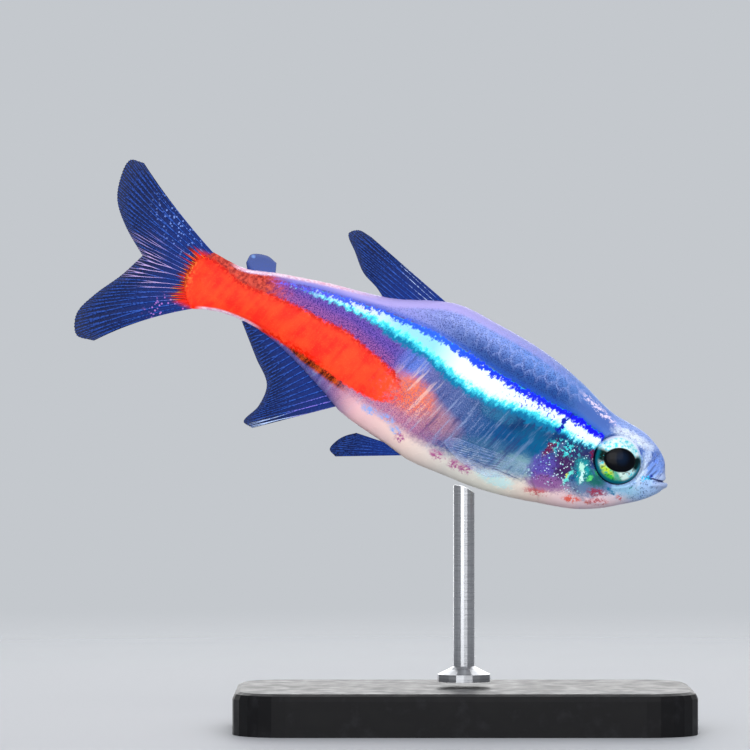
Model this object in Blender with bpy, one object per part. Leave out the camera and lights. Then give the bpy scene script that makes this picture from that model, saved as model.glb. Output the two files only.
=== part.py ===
"""A life-size neon tetra swimming nose down, held on a plain display stand.

Units are metres. Sizes in tables are in millimetres and are turned into metres where they are read.
The fish is modelled level in its own frame and then pitched as a whole by one empty. In that frame the
snout is at x = 0 and the tail at negative x. A station is a distance back from the snout, a height is a
distance above the line through the snout, and the fish's right side is at negative y.
"""

import math

import bmesh
import bpy
from mathutils import Matrix, Vector

MM = 0.001
GAP = 0.3 * MM
WELD = 0.001 * MM
SHARP = math.radians(35)

# The pose: nose down on the stand, the snout ahead of the rod and above the floor.
PITCH = math.radians(22.85)
SNOUT_AHEAD = 11.5 * MM
SNOUT_ABOVE_FLOOR = 13.9 * MM

# The body's profile, as (station, height or size) pairs in millimetres.
BACK = [(0, -0.05), (0.2, 0.06), (0.32, 0.5), (0.6, 1.1), (1, 1.52), (1.5, 1.85), (2.2, 2.17), (3.2, 2.35),
        (4.2, 2.48), (5, 2.73), (6.3, 3.28), (8, 3.87), (10, 4.33), (12.5, 4.64), (14.6, 4.8), (16, 4.5),
        (18.5, 3.62), (22, 3.05), (25, 2.42), (26.8, 1.97), (28.8, 2.12)]
BELLY = [(0, -0.2), (0.3, -0.72), (1, -1.42), (2, -2.12), (3, -2.76), (4.3, -3.33), (6, -3.75), (8, -4.17),
         (10, -4.42), (12, -4.46), (14, -4.44), (16, -4.02), (18.6, -3.42), (20, -2.72), (22.5, -1.6),
         (24.6, -0.93), (26.3, -0.8), (27.5, -0.93), (28.8, -1.35)]
HALF_WIDTH = [(0, 0.12), (0.3, 0.68), (0.7, 1.0), (1.4, 1.34), (2.5, 1.6), (4, 1.82), (6, 2.05), (8.5, 2.2),
              (11, 2.2), (14, 2.02), (18, 1.6), (22, 1.17), (26, 0.8), (28.8, 0.4)]
WIDEST_AT = [(0, -0.12), (1, -0.1), (3, 0.1), (7, 0.1), (12, 0.2), (18, 0.45), (24, 0.75), (28.8, 0.42)]
STALK_END = 28.8 * MM
STALK_BULGE = 0.95 * MM
STALK_BULGE_FROM = 26.8 * MM
ROUNDNESS = 2.15
BODY_RINGS = 66
BODY_SIDES = 44
RING_CROWDING = 0.55

# The seams, as (station, height) points from the back to the belly.
GILL_SEAM = [(5.2, 3.6), (5.7, 2.45), (6.35, 1.5), (6.9, 0.3), (7.4, -0.8), (7.62, -1.7), (7.35, -2.6),
             (6.6, -3.4), (5.8, -4.6)]
STALK_SEAM = [(24.2, 3.4), (24.45, 2.0), (25.0, 0.6), (25.4, -0.4), (25.6, -1.8)]
BEYOND = 5 * MM
SEAM_POINTS = 24

# The gill cover's front, upper and lower edges; the gill seam bounds it behind.
COVER_EDGE = [(8.6, 0.9), (6.5, 1.25), (5.75, 1.05), (5.3, 0.3), (5.08, -0.7), (5.1, -1.7), (5.35, -2.5),
              (6.1, -2.98), (8.6, -2.9)]
COVER_CENTRE = (6.6, -0.9)
COVER_THICKNESS = 0.95 * MM

# The eyes.
EYE_STATION = 3.17 * MM
EYE_HEIGHT = 0.14 * MM
EYE_RADIUS = 1.4 * MM
EYE_DEPTH = 0.75 * MM
EYE_OUT = 1.2 * MM
EYE_TURN = math.radians(9)
EYE_LEAN = math.radians(6)
LENS_RADIUS = 0.78 * MM
LENS_DEPTH = 0.46 * MM
LENS_STANDS_OUT = 0.08 * MM
EYE_SIDES = 26
LENS_SIDES = 20

# The mouth.
MOUTH_CORNER = 0.8 * MM
MOUTH_CORNER_HEIGHT = -0.2 * MM
MOUTH_FRONT_HEIGHT = 0.07 * MM
MOUTH_SLIT = 0.13 * MM
UPPER_LIP_RADIUS = 0.17 * MM
UPPER_LIP_FRONT = 0.36 * MM
UPPER_LIP_RISE = 0.16 * MM
LOWER_LIP_RADIUS = 0.16 * MM
LOWER_LIP_FRONT = 0.09 * MM
LOWER_LIP_DROP = 0.2 * MM
LIP_AT_CORNER = 0.5
LIP_SUNK = 0.35
LIP_STEPS = 14
NOSTRILS = [(1.12, 0.92), (1.36, 1.2)]
NOSTRIL_RADIUS = 0.13 * MM
NOSTRIL_SIDES = 10

# The fins. Roots and margins run from the leading ray to the last one.
MEMBRANE = 0.5 * MM
MEMBRANE_TIP = 0.22 * MM
RAY_RISE = 0.13 * MM
PAIRED_RAY_RISE = 0.07 * MM
RAY_FALL = 0.6
TAPER_FROM = 0.72
MARGIN_NOTCH = 0.035
FIN_ROWS = 8
FIN_CLEAR = 0.32 * MM

DORSAL_BASE = (15.2, 18.6)
DORSAL_MARGIN = [(20.9, 6.4), (21.7, 6.48), (22.15, 6.05), (21.4, 5.25), (20.5, 4.35), (19.4, 4.15)]
DORSAL_RAYS = 11
ANAL_BASE = (18.9, 24.9)
ANAL_MARGIN = [(22.9, -6.22), (23.5, -6.05), (23.05, -4.9), (23.1, -3.6), (24.2, -2.5), (25.45, -1.55)]
ANAL_RAYS = 19
TAIL_ROOT = [(29.12, 2.27), (29.92, 1.45), (30.12, 0.6)]
TAIL_ROOT_LOWER = [(29.05, -1.62), (29.85, -0.75), (30.12, 0.15)]
UPPER_MARGIN = [(34.4, 5.27), (35.2, 5.1), (35.3, 4.0), (34.95, 2.7), (33.9, 1.5), (32.5, 0.62)]
LOWER_MARGIN = [(33.1, -5.15), (34.15, -5.22), (34.6, -4.1), (34.1, -2.75), (33.1, -1.1), (32.5, 0.12)]
UPPER_BOW = -0.15
LOWER_BOW = -0.25
TAIL_RAYS = 10
ADIPOSE_BASE = (25.0, 26.5)
ADIPOSE_MARGIN = [(25.25, 2.95), (25.9, 3.12), (26.75, 2.85), (26.85, 2.4)]
ADIPOSE_FOLDS = 5

PECTORAL_BASE = [(7.9, -2.05), (7.95, -2.85)]
PECTORAL_MARGIN = [(12.2, -2.2), (12.75, -2.6), (12.1, -3.1), (10.9, -3.5), (9.7, -3.6)]
PECTORAL_RAYS = 10
PECTORAL_FLARE = math.radians(9)
PECTORAL_CLEAR = 0.22 * MM
PELVIC_BASE = [(14.55, -4.66), (15.7, -4.36)]
PELVIC_MARGIN = [(17.95, -5.95), (18.4, -5.7), (18.25, -5.15), (17.9, -4.65), (17.35, -4.2)]
PELVIC_RAYS = 8
PELVIC_OUT = 0.62 * MM
PELVIC_FLARE = math.radians(17)

# The stand.
BASE_LENGTH = 26 * MM
BASE_WIDTH = 15 * MM
BASE_HEIGHT = 2.4 * MM
BASE_CORNER = 3 * MM
BASE_EDGE = 0.4 * MM
BASE_CORNER_STEPS = 6
ROD_RADIUS = 0.6 * MM
ROD_SIDES = 20
BELLY_STEPS = 12
COLLAR_RADIUS = 1.5 * MM
COLLAR_HEIGHT = 0.7 * MM

# Finishes: colour, roughness and metallic value.
FINISHES = {
    "back_skin": ((0.42, 0.46, 0.72), 0.4, 0.0),
    "flank_skin": ((0.25, 0.62, 0.85), 0.3, 0.1),
    "red_skin": ((0.95, 0.10, 0.04), 0.4, 0.0),
    "cover_skin": ((0.36, 0.55, 0.72), 0.3, 0.3),
    "iris": ((0.62, 0.93, 0.90), 0.15, 0.2),
    "fin": ((0.10, 0.26, 0.60), 0.35, 0.0),
    "base_paint": ((0.06, 0.06, 0.07), 0.45, 0.0),
    "rod_steel": ((0.62, 0.63, 0.65), 0.3, 1.0),
}


def smooth(points, at):
    """The height at one place of the smooth curve through (place, height) points, in millimetres."""
    places = [p[0] for p in points]
    heights = [p[1] for p in points]
    last = len(points) - 1
    k = 0
    while k < last - 1 and at > places[k + 1]:
        k += 1

    def slope(i):
        before, after = max(i - 1, 0), min(i + 1, last)
        return (heights[after] - heights[before]) / (places[after] - places[before])

    span = places[k + 1] - places[k]
    t = min(max((at - places[k]) / span, 0.0), 1.0)
    start, end = slope(k) * span, slope(k + 1) * span
    return (
        (2 * t**3 - 3 * t**2 + 1) * heights[k]
        + (t**3 - 2 * t**2 + t) * start
        + (3 * t**2 - 2 * t**3) * heights[k + 1]
        + (t**3 - t**2) * end
    )


def along(points, share):
    """The (station, height) at a share of the length of the smooth curve through points, in millimetres."""
    lengths = [0.0]
    for a, b in zip(points, points[1:]):
        lengths.append(lengths[-1] + math.dist(a, b))
    place = share * lengths[-1]
    stations = [(length, p[0]) for length, p in zip(lengths, points)]
    heights = [(length, p[1]) for length, p in zip(lengths, points)]
    return smooth(stations, place), smooth(heights, place)


def curve(points, count):
    return [along(points, i / (count - 1)) for i in range(count)]


def section(station):
    """Back height, belly height, half width and height of the widest place, in metres."""
    at = station / MM
    return [smooth(table, at) * MM for table in (BACK, BELLY, HALF_WIDTH, WIDEST_AT)]


def side_at(station, height):
    """How far the body's skin is from its middle plane at a station and height."""
    back, belly, half_width, widest = section(station)
    reach = back - widest if height > widest else widest - belly
    share = min(abs(height - widest) / reach, 1.0)
    return half_width * (1 - share**ROUNDNESS) ** (1 / ROUNDNESS)


def belly_at(station, out):
    """How high the underside is at a distance out from the middle plane."""
    _, belly, half_width, widest = section(station)
    share = min(abs(out) / half_width, 1.0)
    return widest - (widest - belly) * (1 - share**ROUNDNESS) ** (1 / ROUNDNESS)


def skin_point(station, angle):
    """A point of the skin, the angle counted from the back round the left side."""
    back, belly, half_width, widest = section(station)
    up, out = math.cos(angle), math.sin(angle)
    reach = back - widest if up > 0 else widest - belly
    height_share = math.copysign(abs(up) ** (2 / ROUNDNESS), up)
    y = half_width * math.copysign(abs(out) ** (2 / ROUNDNESS), out)
    grown = max(0.0, (station - STALK_BULGE_FROM) / (STALK_END - STALK_BULGE_FROM))
    bulge = STALK_BULGE * grown**2 * (1 - height_share**2)
    return Vector((-station - bulge, y, widest + reach * height_share))


def finish(name):
    """The named finish as a material, made once."""
    if name in bpy.data.materials:
        return bpy.data.materials[name]
    colour, roughness, metallic = FINISHES[name]
    material = bpy.data.materials.new(name)
    material.use_nodes = True
    material.diffuse_color = (*colour, 1)
    shader = material.node_tree.nodes["Principled BSDF"]
    shader.inputs["Base Color"].default_value = (*colour, 1)
    shader.inputs["Roughness"].default_value = roughness
    shader.inputs["Metallic"].default_value = metallic
    return material


def piece(name, mesh, finish_name, parent=None):
    """An object from a bmesh, shaded smooth where its faces meet at a low angle."""
    bmesh.ops.recalc_face_normals(mesh, faces=mesh.faces)
    data = bpy.data.meshes.new(name)
    mesh.to_mesh(data)
    mesh.free()
    data.shade_smooth()
    data.set_sharp_from_angle(angle=SHARP)
    made = bpy.data.objects.new(name, data)
    bpy.context.scene.collection.objects.link(made)
    made.data.materials.append(finish(finish_name))
    made.parent = parent
    return made


def shaped_grid(columns, rows, place):
    """A sheet of columns by rows faces, its corners put where place(column, row) says."""
    mesh = bmesh.new()
    bmesh.ops.create_grid(mesh, x_segments=columns, y_segments=rows, size=1)
    for vert in mesh.verts:
        column = round((vert.co.x + 1) / 2 * columns)
        row = round((vert.co.y + 1) / 2 * rows)
        vert.co = place(column, row)
    return mesh


def combine(target, tools, operation):
    """Joins or cuts the target with all the tools at once, applies that and removes the tools."""
    group = bpy.data.collections.new(f"{target.name}_tools")
    bpy.context.scene.collection.children.link(group)
    for tool in tools:
        group.objects.link(tool)
    modifier = target.modifiers.new("Boolean", "BOOLEAN")
    modifier.operation = operation
    modifier.operand_type = "COLLECTION"
    modifier.collection = group
    modifier.solver = "EXACT"
    graph = bpy.context.evaluated_depsgraph_get()
    graph.update()
    target.data = bpy.data.meshes.new_from_object(target.evaluated_get(graph))
    target.modifiers.clear()
    for tool in tools:
        bpy.data.objects.remove(tool)
    bpy.data.collections.remove(group)
    keep_largest(target)


def keep_largest(target):
    """Leaves only the largest closed surface of a mesh."""
    mesh = bmesh.new()
    mesh.from_mesh(target.data)
    waiting = set(mesh.verts)
    shells = []
    while waiting:
        shell, edge = set(), [waiting.pop()]
        while edge:
            vert = edge.pop()
            shell.add(vert)
            near = {e.other_vert(vert) for e in vert.link_edges} & waiting
            waiting -= near
            edge.extend(near)
        shells.append(shell)
    shells.sort(key=len)
    scraps = [vert for shell in shells[:-1] for vert in shell]
    bmesh.ops.delete(mesh, geom=scraps, context="VERTS")
    mesh.to_mesh(target.data)
    mesh.free()
    target.data.set_sharp_from_angle(angle=SHARP)


def body_shell(name, finish_name, parent):
    """The whole body without fins: rings crowded towards the snout, from a point there to the stalk's end."""

    def place(column, row):
        share = column / BODY_RINGS
        station = STALK_END * (RING_CROWDING * share**2 + (1 - RING_CROWDING) * share)
        return skin_point(station, 2 * math.pi * row / BODY_SIDES)

    mesh = shaped_grid(BODY_RINGS, BODY_SIDES, place)
    bmesh.ops.remove_doubles(mesh, verts=mesh.verts, dist=WELD)
    open_edges = [edge for edge in mesh.edges if edge.is_boundary]
    bmesh.ops.holes_fill(mesh, edges=open_edges)
    bmesh.ops.triangulate(mesh, faces=mesh.faces)
    return piece(name, mesh, finish_name, parent)


def slab(name, outline, near, far, parent):
    """A cutter: an outline of (station, height) points in millimetres, thick from y = near to y = far."""
    mesh = bmesh.new()
    face = mesh.faces.new([mesh.verts.new((-s * MM, near, h * MM)) for s, h in outline])
    made = bmesh.ops.extrude_face_region(mesh, geom=[face])["geom"]
    verts = [item for item in made if isinstance(item, bmesh.types.BMVert)]
    bmesh.ops.translate(mesh, verts=verts, vec=(0, far - near, 0))
    bmesh.ops.triangulate(mesh, faces=mesh.faces)
    return piece(name, mesh, "back_skin", parent)


def ahead_of(seam, moved, parent):
    """A cutter that holds all of the fish ahead of a seam, the seam moved back by a distance."""
    edge = [(s + moved / MM, h) for s, h in curve(seam, SEAM_POINTS)]
    front = -BEYOND / MM
    top = edge[0][1] + BEYOND / MM
    bottom = edge[-1][1] - BEYOND / MM
    outline = [(front, top), (edge[0][0], top), *edge, (edge[-1][0], bottom), (front, bottom)]
    return slab("ahead", outline, -BEYOND, BEYOND, parent)


def ball(name, place, radii, sides, finish_name, parent):
    """A flattened ball at a place given by a matrix, its poles on the line across the fish."""
    mesh = bmesh.new()
    bmesh.ops.create_uvsphere(mesh, u_segments=sides, v_segments=sides // 2, radius=1)
    turn = Matrix.Rotation(math.pi / 2, 4, "X")
    size = Matrix.Diagonal((*radii, 1))
    bmesh.ops.transform(mesh, matrix=place @ size @ turn, verts=mesh.verts)
    return piece(name, mesh, finish_name, parent)


def lip(name, front, above_slit, radius, parent):
    """A lip: a tube round the jaw from one corner of the mouth to the other, thinner at the corners."""
    line = bpy.data.curves.new(name, "CURVE")
    line.dimensions = "3D"
    line.bevel_depth = radius
    line.bevel_resolution = 2
    line.use_fill_caps = True
    spline = line.splines.new("POLY")
    spline.points.add(LIP_STEPS)
    for i, point in enumerate(spline.points):
        turn = math.pi * (i / LIP_STEPS - 0.5)
        station = front + (MOUTH_CORNER - front) * (1 - math.cos(turn))
        slit = MOUTH_CORNER_HEIGHT + (MOUTH_FRONT_HEIGHT - MOUTH_CORNER_HEIGHT) * math.cos(turn)
        height = slit + above_slit
        corner_out = side_at(MOUTH_CORNER, MOUTH_CORNER_HEIGHT + above_slit) - LIP_SUNK * radius
        out = corner_out * math.sin(turn)
        point.co = (-station, out, height, 1)
        point.radius = LIP_AT_CORNER + (1 - LIP_AT_CORNER) * math.cos(turn)
    made = bpy.data.objects.new(name, line)
    bpy.context.scene.collection.objects.link(made)
    made.parent = parent
    graph = bpy.context.evaluated_depsgraph_get()
    graph.update()
    mesh = bmesh.new()
    mesh.from_mesh(bpy.data.meshes.new_from_object(made.evaluated_get(graph)))
    bpy.data.objects.remove(made)
    bmesh.ops.remove_doubles(mesh, verts=mesh.verts, dist=WELD)
    bmesh.ops.triangulate(mesh, faces=mesh.faces)
    return piece(name, mesh, "back_skin", parent)


def mouth_slit(parent):
    """The cutter between the lips, open at the front and ending at the mouth's corners."""
    half = MOUTH_SLIT / MM / 2
    corner, low = MOUTH_CORNER / MM, MOUTH_CORNER_HEIGHT / MM
    front, high = UPPER_LIP_FRONT / MM, MOUTH_FRONT_HEIGHT / MM
    clear = -BEYOND / MM
    outline = [
        (clear, high + half),
        (front / 2, high + half),
        (corner, low + half),
        (corner + half, low),
        (corner, low - half),
        (front / 2, high - half),
        (clear, high - half),
    ]
    return slab("slit", outline, -BEYOND, BEYOND, parent)


def cover_block(side, grown, parent):
    """What a gill cover is cut from, or with grown above 0, the recess that takes it."""
    centre = Vector(COVER_CENTRE)
    outline = []
    for point in curve(COVER_EDGE, SEAM_POINTS):
        away = (Vector(point) - centre).normalized() * (grown / MM)
        outline.append(Vector(point) + away)
    floor = side_at(centre.x * MM, 0) - COVER_THICKNESS - grown
    return slab("cover", outline, side * floor, side * BEYOND, parent)


def fin(name, root, margin, rays, parent, bow=0.0, rise=RAY_RISE):
    """A fin of rays joined by a membrane, each ray a ridge raised in both faces.

    root and margin give a (station, height) for a share of the way from the leading ray to the last.
    bow is how far the leading ray's middle lies to one side of a straight line, in millimetres.
    """
    columns = 2 * (rays - 1)

    def half_thickness(column, reach):
        flat = MEMBRANE / 2
        if reach > TAPER_FROM:
            fall = (reach - TAPER_FROM) / (1 - TAPER_FROM)
            flat += (MEMBRANE_TIP - MEMBRANE) / 2 * fall
        on_ray = column % 2 == 0
        return flat + (rise * (1 - RAY_FALL * reach) if on_ray else 0)

    def place(column, row):
        share = column / columns
        reach = row / FIN_ROWS
        stretch = reach * (1 if column % 2 == 0 else 1 - MARGIN_NOTCH)
        (s0, h0), (s1, h1) = root(share), margin(share)
        across = Vector((h0 - h1, s1 - s0)).normalized()
        aside = across * bow * (1 - share) * 4 * reach * (1 - reach)
        station = (s0 + (s1 - s0) * stretch + aside.x) * MM
        height = (h0 + (h1 - h0) * stretch + aside.y) * MM
        return Vector((-station, half_thickness(column, reach), height))

    mesh = shaped_grid(columns, FIN_ROWS, place)
    bmesh.ops.triangulate(mesh, faces=mesh.faces)
    mirror_and_close(mesh)
    return piece(name, mesh, "fin", parent)


def mirror_and_close(mesh):
    """Copies a sheet's face, already split into triangles, across the middle plane and joins the rims."""
    made = bmesh.ops.duplicate(mesh, geom=[*mesh.verts, *mesh.edges, *mesh.faces])["geom"]
    for item in made:
        if isinstance(item, bmesh.types.BMVert):
            item.co.y = -item.co.y
    rim = [edge for edge in mesh.edges if edge.is_boundary]
    bmesh.ops.bridge_loops(mesh, edges=rim)
    bmesh.ops.triangulate(mesh, faces=mesh.faces)


def edge_root(table, base, lift):
    """A fin's root along the back or belly between two stations, lifted clear of it."""

    def root(share):
        station = base[0] + (base[1] - base[0]) * share
        return station, smooth(table, station) + lift / MM

    return root


def swing(target, root, side, out, flare):
    """Turns a paired fin about its root line, and sets it out from the middle plane."""
    (s0, h0), (s1, h1) = root[0], root[-1]
    start = Vector((-s0 * MM, 0, h0 * MM))
    line = Vector((-s1 * MM, 0, h1 * MM)) - start
    turn = Matrix.Rotation(-side * flare, 4, line)
    move = Matrix.Translation(start + Vector((0, side * out, 0)))
    target.data.transform(move @ turn @ Matrix.Translation(-start))


def make_head(pose):
    """The head with its lips, mouth, nostrils, eye sockets and the recesses that take the gill covers."""
    head = body_shell("head", "back_skin", pose)
    combine(head, [ahead_of(GILL_SEAM, -GAP / 2, pose)], "INTERSECT")
    upper = lip("upper_lip", UPPER_LIP_FRONT, UPPER_LIP_RISE, UPPER_LIP_RADIUS, pose)
    lower = lip("lower_lip", LOWER_LIP_FRONT, -LOWER_LIP_DROP, LOWER_LIP_RADIUS, pose)
    combine(head, [upper, lower], "UNION")
    cutters = [mouth_slit(pose)]
    for side in (-1, 1):
        cutters.append(cover_block(side, GAP, pose))
        cutters.append(eye_ball("socket", side, GAP, pose))
        for s, h in NOSTRILS:
            at = Matrix.Translation((-s * MM, side * side_at(s * MM, h * MM), h * MM))
            cutters.append(ball("nostril", at, [NOSTRIL_RADIUS] * 3, NOSTRIL_SIDES, "back_skin", pose))
    combine(head, cutters, "DIFFERENCE")


def make_gill_covers(pose):
    """Each gill cover is a flap cut from the side of the head, flush with it."""
    for side, word in ((-1, "right"), (1, "left")):
        cover = body_shell(f"gill_cover_{word}", "cover_skin", pose)
        combine(cover, [ahead_of(GILL_SEAM, -GAP / 2, pose)], "INTERSECT")
        combine(cover, [cover_block(side, 0, pose)], "INTERSECT")


def make_trunk_and_stalk(pose):
    """The body behind the gills, parted ahead of the small fat fin on the back."""
    trunk = body_shell("trunk", "flank_skin", pose)
    combine(trunk, [ahead_of(GILL_SEAM, GAP / 2, pose)], "DIFFERENCE")
    combine(trunk, [ahead_of(STALK_SEAM, -GAP / 2, pose)], "INTERSECT")
    stalk = body_shell("tail_stalk", "red_skin", pose)
    combine(stalk, [ahead_of(STALK_SEAM, GAP / 2, pose)], "DIFFERENCE")


def eye_place(side):
    """Where an eye is: turned forwards and leaning back with the side of the head."""
    centre = Matrix.Translation((-EYE_STATION, side * EYE_OUT, EYE_HEIGHT))
    return centre @ Matrix.Rotation(-side * EYE_TURN, 4, "Z") @ Matrix.Rotation(side * EYE_LEAN, 4, "X")


def eye_ball(name, side, grown, pose):
    radii = (EYE_RADIUS + grown, EYE_DEPTH + grown, EYE_RADIUS + grown)
    return ball(name, eye_place(side), radii, EYE_SIDES, "iris", pose)


def make_eyes(pose):
    """Each eye is a flattened ball with the lens standing out of the pupil."""
    for side, word in ((-1, "right"), (1, "left")):
        eye = eye_ball(f"eye_{word}", side, 0, pose)
        out = EYE_DEPTH + LENS_STANDS_OUT - LENS_DEPTH
        place = eye_place(side) @ Matrix.Translation((0, side * out, 0))
        radii = (LENS_RADIUS, LENS_DEPTH, LENS_RADIUS)
        lens = ball("lens", place, radii, LENS_SIDES, "iris", pose)
        combine(eye, [lens], "UNION")


def make_fins(pose):
    def between(points):
        return lambda share: along(points, share)

    fin("dorsal_fin", edge_root(BACK, DORSAL_BASE, FIN_CLEAR), between(DORSAL_MARGIN), DORSAL_RAYS, pose)
    fin("anal_fin", edge_root(BELLY, ANAL_BASE, -FIN_CLEAR), between(ANAL_MARGIN), ANAL_RAYS, pose)
    fin("adipose_fin", edge_root(BACK, ADIPOSE_BASE, FIN_CLEAR), between(ADIPOSE_MARGIN),
        ADIPOSE_FOLDS, pose, rise=0)
    fin("tail_fin_upper", between(TAIL_ROOT), between(UPPER_MARGIN), TAIL_RAYS, pose, bow=UPPER_BOW)
    fin("tail_fin_lower", between(TAIL_ROOT_LOWER), between(LOWER_MARGIN), TAIL_RAYS, pose, bow=LOWER_BOW)
    s, h = PECTORAL_BASE[0]
    pectoral_out = side_at(s * MM, h * MM) + PECTORAL_CLEAR + MEMBRANE / 2
    for side, word in ((-1, "right"), (1, "left")):
        pectoral = fin(f"pectoral_fin_{word}", between(PECTORAL_BASE), between(PECTORAL_MARGIN),
                       PECTORAL_RAYS, pose, rise=PAIRED_RAY_RISE)
        swing(pectoral, PECTORAL_BASE[::-1], side, pectoral_out, PECTORAL_FLARE)
        pelvic = fin(f"pelvic_fin_{word}", between(PELVIC_BASE), between(PELVIC_MARGIN),
                     PELVIC_RAYS, pose, rise=PAIRED_RAY_RISE)
        swing(pelvic, PELVIC_BASE, side, PELVIC_OUT, PELVIC_FLARE)


def make_base():
    """A flat base with rounded corners and a bevelled upper edge."""
    mesh = bmesh.new()
    bmesh.ops.create_cube(mesh, size=1)
    size = Matrix.Diagonal((BASE_LENGTH, BASE_WIDTH, BASE_HEIGHT, 1))
    lift = Matrix.Translation((0, 0, BASE_HEIGHT / 2))
    bmesh.ops.transform(mesh, matrix=lift @ size, verts=mesh.verts)
    upright = [e for e in mesh.edges if abs(e.verts[0].co.z - e.verts[1].co.z) > BASE_HEIGHT / 2]
    bmesh.ops.bevel(mesh, geom=upright, offset=BASE_CORNER, segments=BASE_CORNER_STEPS, profile=0.5,
                    affect="EDGES", clamp_overlap=True, material=-1)
    top = [e for e in mesh.edges if min(v.co.z for v in e.verts) > BASE_HEIGHT - WELD
           and any(abs(f.normal.z) < 0.5 for f in e.link_faces)]
    bmesh.ops.bevel(mesh, geom=top, offset=BASE_EDGE, segments=2, profile=0.5,
                    affect="EDGES", clamp_overlap=True, material=-1)
    return piece("stand_base", mesh, "base_paint")


def make_rod():
    """A round rod with a collar at its foot, its top cut to the slope of the belly that it carries."""
    foot = BASE_HEIGHT + GAP
    profile = [
        (COLLAR_RADIUS, foot),
        (COLLAR_RADIUS, foot + COLLAR_HEIGHT * 0.6),
        (ROD_RADIUS * 1.5, foot + COLLAR_HEIGHT),
        (ROD_RADIUS, foot + COLLAR_HEIGHT * 1.25),
        (ROD_RADIUS, foot + COLLAR_HEIGHT * 4),
    ]

    def place(column, row):
        radius, height = profile[column]
        turn = 2 * math.pi * row / ROD_SIDES
        x, y = radius * math.cos(turn), radius * math.sin(turn)
        if column == len(profile) - 1:
            height = belly_over(x, y) - GAP / math.cos(PITCH)
        return Vector((x, y, height))

    mesh = shaped_grid(len(profile) - 1, ROD_SIDES, place)
    bmesh.ops.remove_doubles(mesh, verts=mesh.verts, dist=WELD)
    bmesh.ops.holes_fill(mesh, edges=[edge for edge in mesh.edges if edge.is_boundary])
    bmesh.ops.triangulate(mesh, faces=mesh.faces)
    return piece("stand_rod", mesh, "rod_steel")


def belly_over(x, y):
    """How high the fish's underside is above a point of the base, found by stepping along the belly."""
    station = (SNOUT_AHEAD - x) / math.cos(PITCH)
    for _ in range(BELLY_STEPS):
        height = belly_at(station, y)
        station = (SNOUT_AHEAD - x + height * math.sin(PITCH)) / math.cos(PITCH)
    return SNOUT_ABOVE_FLOOR + station * math.sin(PITCH) + height * math.cos(PITCH)


def main():
    for old in list(bpy.data.objects):
        bpy.data.objects.remove(old)
    pose = bpy.data.objects.new("fish_pose", None)
    bpy.context.scene.collection.objects.link(pose)
    make_head(pose)
    make_gill_covers(pose)
    make_trunk_and_stalk(pose)
    make_eyes(pose)
    make_fins(pose)
    make_base()
    make_rod()
    pose.location = (SNOUT_AHEAD, 0, SNOUT_ABOVE_FLOOR)
    pose.rotation_euler = (0, PITCH, 0)


main()
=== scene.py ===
"""The looks of a life-size neon tetra, nose down on a plain display stand.

Sizes of the fish are in millimetres in its own level frame, as (station, height) pairs: a station is a
distance back from the snout and a height a distance above the line through it. Objects are in metres.
"""

import math
from functools import partial

import bmesh
import bpy
import numpy as np
from mathutils import Matrix, Vector


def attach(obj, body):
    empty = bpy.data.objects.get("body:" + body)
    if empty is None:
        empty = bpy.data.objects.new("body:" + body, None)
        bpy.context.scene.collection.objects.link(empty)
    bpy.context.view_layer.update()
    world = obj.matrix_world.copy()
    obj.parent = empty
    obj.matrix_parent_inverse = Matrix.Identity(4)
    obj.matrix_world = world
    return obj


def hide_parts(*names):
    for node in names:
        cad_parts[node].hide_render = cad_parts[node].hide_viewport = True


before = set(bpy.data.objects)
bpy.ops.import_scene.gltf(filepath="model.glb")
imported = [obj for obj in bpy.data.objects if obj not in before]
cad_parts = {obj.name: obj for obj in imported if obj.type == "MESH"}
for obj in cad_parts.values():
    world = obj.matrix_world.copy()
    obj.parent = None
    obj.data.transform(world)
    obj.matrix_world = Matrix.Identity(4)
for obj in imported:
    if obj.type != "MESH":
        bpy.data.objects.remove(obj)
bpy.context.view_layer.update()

# The skin of head, gill covers, body and tail stalk. In life it is one thin, wet and scaled skin over
# flesh; a museum model has it cast in one piece and painted. It replaces the five flesh solids.
MM = 0.001
PITCH = math.radians(22.85)
SNOUT_AHEAD = 11.5
SNOUT_ABOVE_FLOOR = 13.9
BACK = [(0, -0.05), (0.2, 0.06), (0.32, 0.5), (0.6, 1.1), (1, 1.52), (1.5, 1.85), (2.2, 2.17),
        (3.2, 2.35), (4.2, 2.48), (5, 2.73), (6.3, 3.28), (8, 3.87), (10, 4.33), (12.5, 4.64),
        (14.6, 4.8), (16, 4.5), (18.5, 3.62), (22, 3.05), (25, 2.42), (26.8, 1.97), (28.8, 2.12)]
BELLY = [(0, -0.2), (0.3, -0.72), (1, -1.42), (2, -2.12), (3, -2.76), (4.3, -3.33), (6, -3.75),
         (8, -4.17), (10, -4.42), (12, -4.46), (14, -4.44), (16, -4.02), (18.6, -3.42), (20, -2.72),
         (22.5, -1.6), (24.6, -0.93), (26.3, -0.8), (27.5, -0.93), (28.8, -1.35)]
HALF_WIDTH = [(0, 0.12), (0.3, 0.68), (0.7, 1.0), (1.4, 1.34), (2.5, 1.6), (4, 1.82), (6, 2.05), (8.5, 2.2),
              (11, 2.2), (14, 2.02), (18, 1.6), (22, 1.17), (26, 0.8), (27.5, 0.52), (28.8, 0.14)]
WIDEST_AT = [(0, -0.12), (1, -0.1), (3, 0.1), (7, 0.1), (12, 0.2), (18, 0.45), (24, 0.75), (28.8, 0.42)]
STALK_END = 28.8
STALK_BULGE = 0.95
STALK_BULGE_FROM = 26.8
ROUNDNESS = 2.15
SKIN_RINGS = 430
SKIN_SIDES = 208
RING_CROWDING = 0.7
SNOUT_CAP = 0.012
SNOUT_TIP = -0.125
HEAD_TO = 9
STALK_CAP = 0.012
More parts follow.
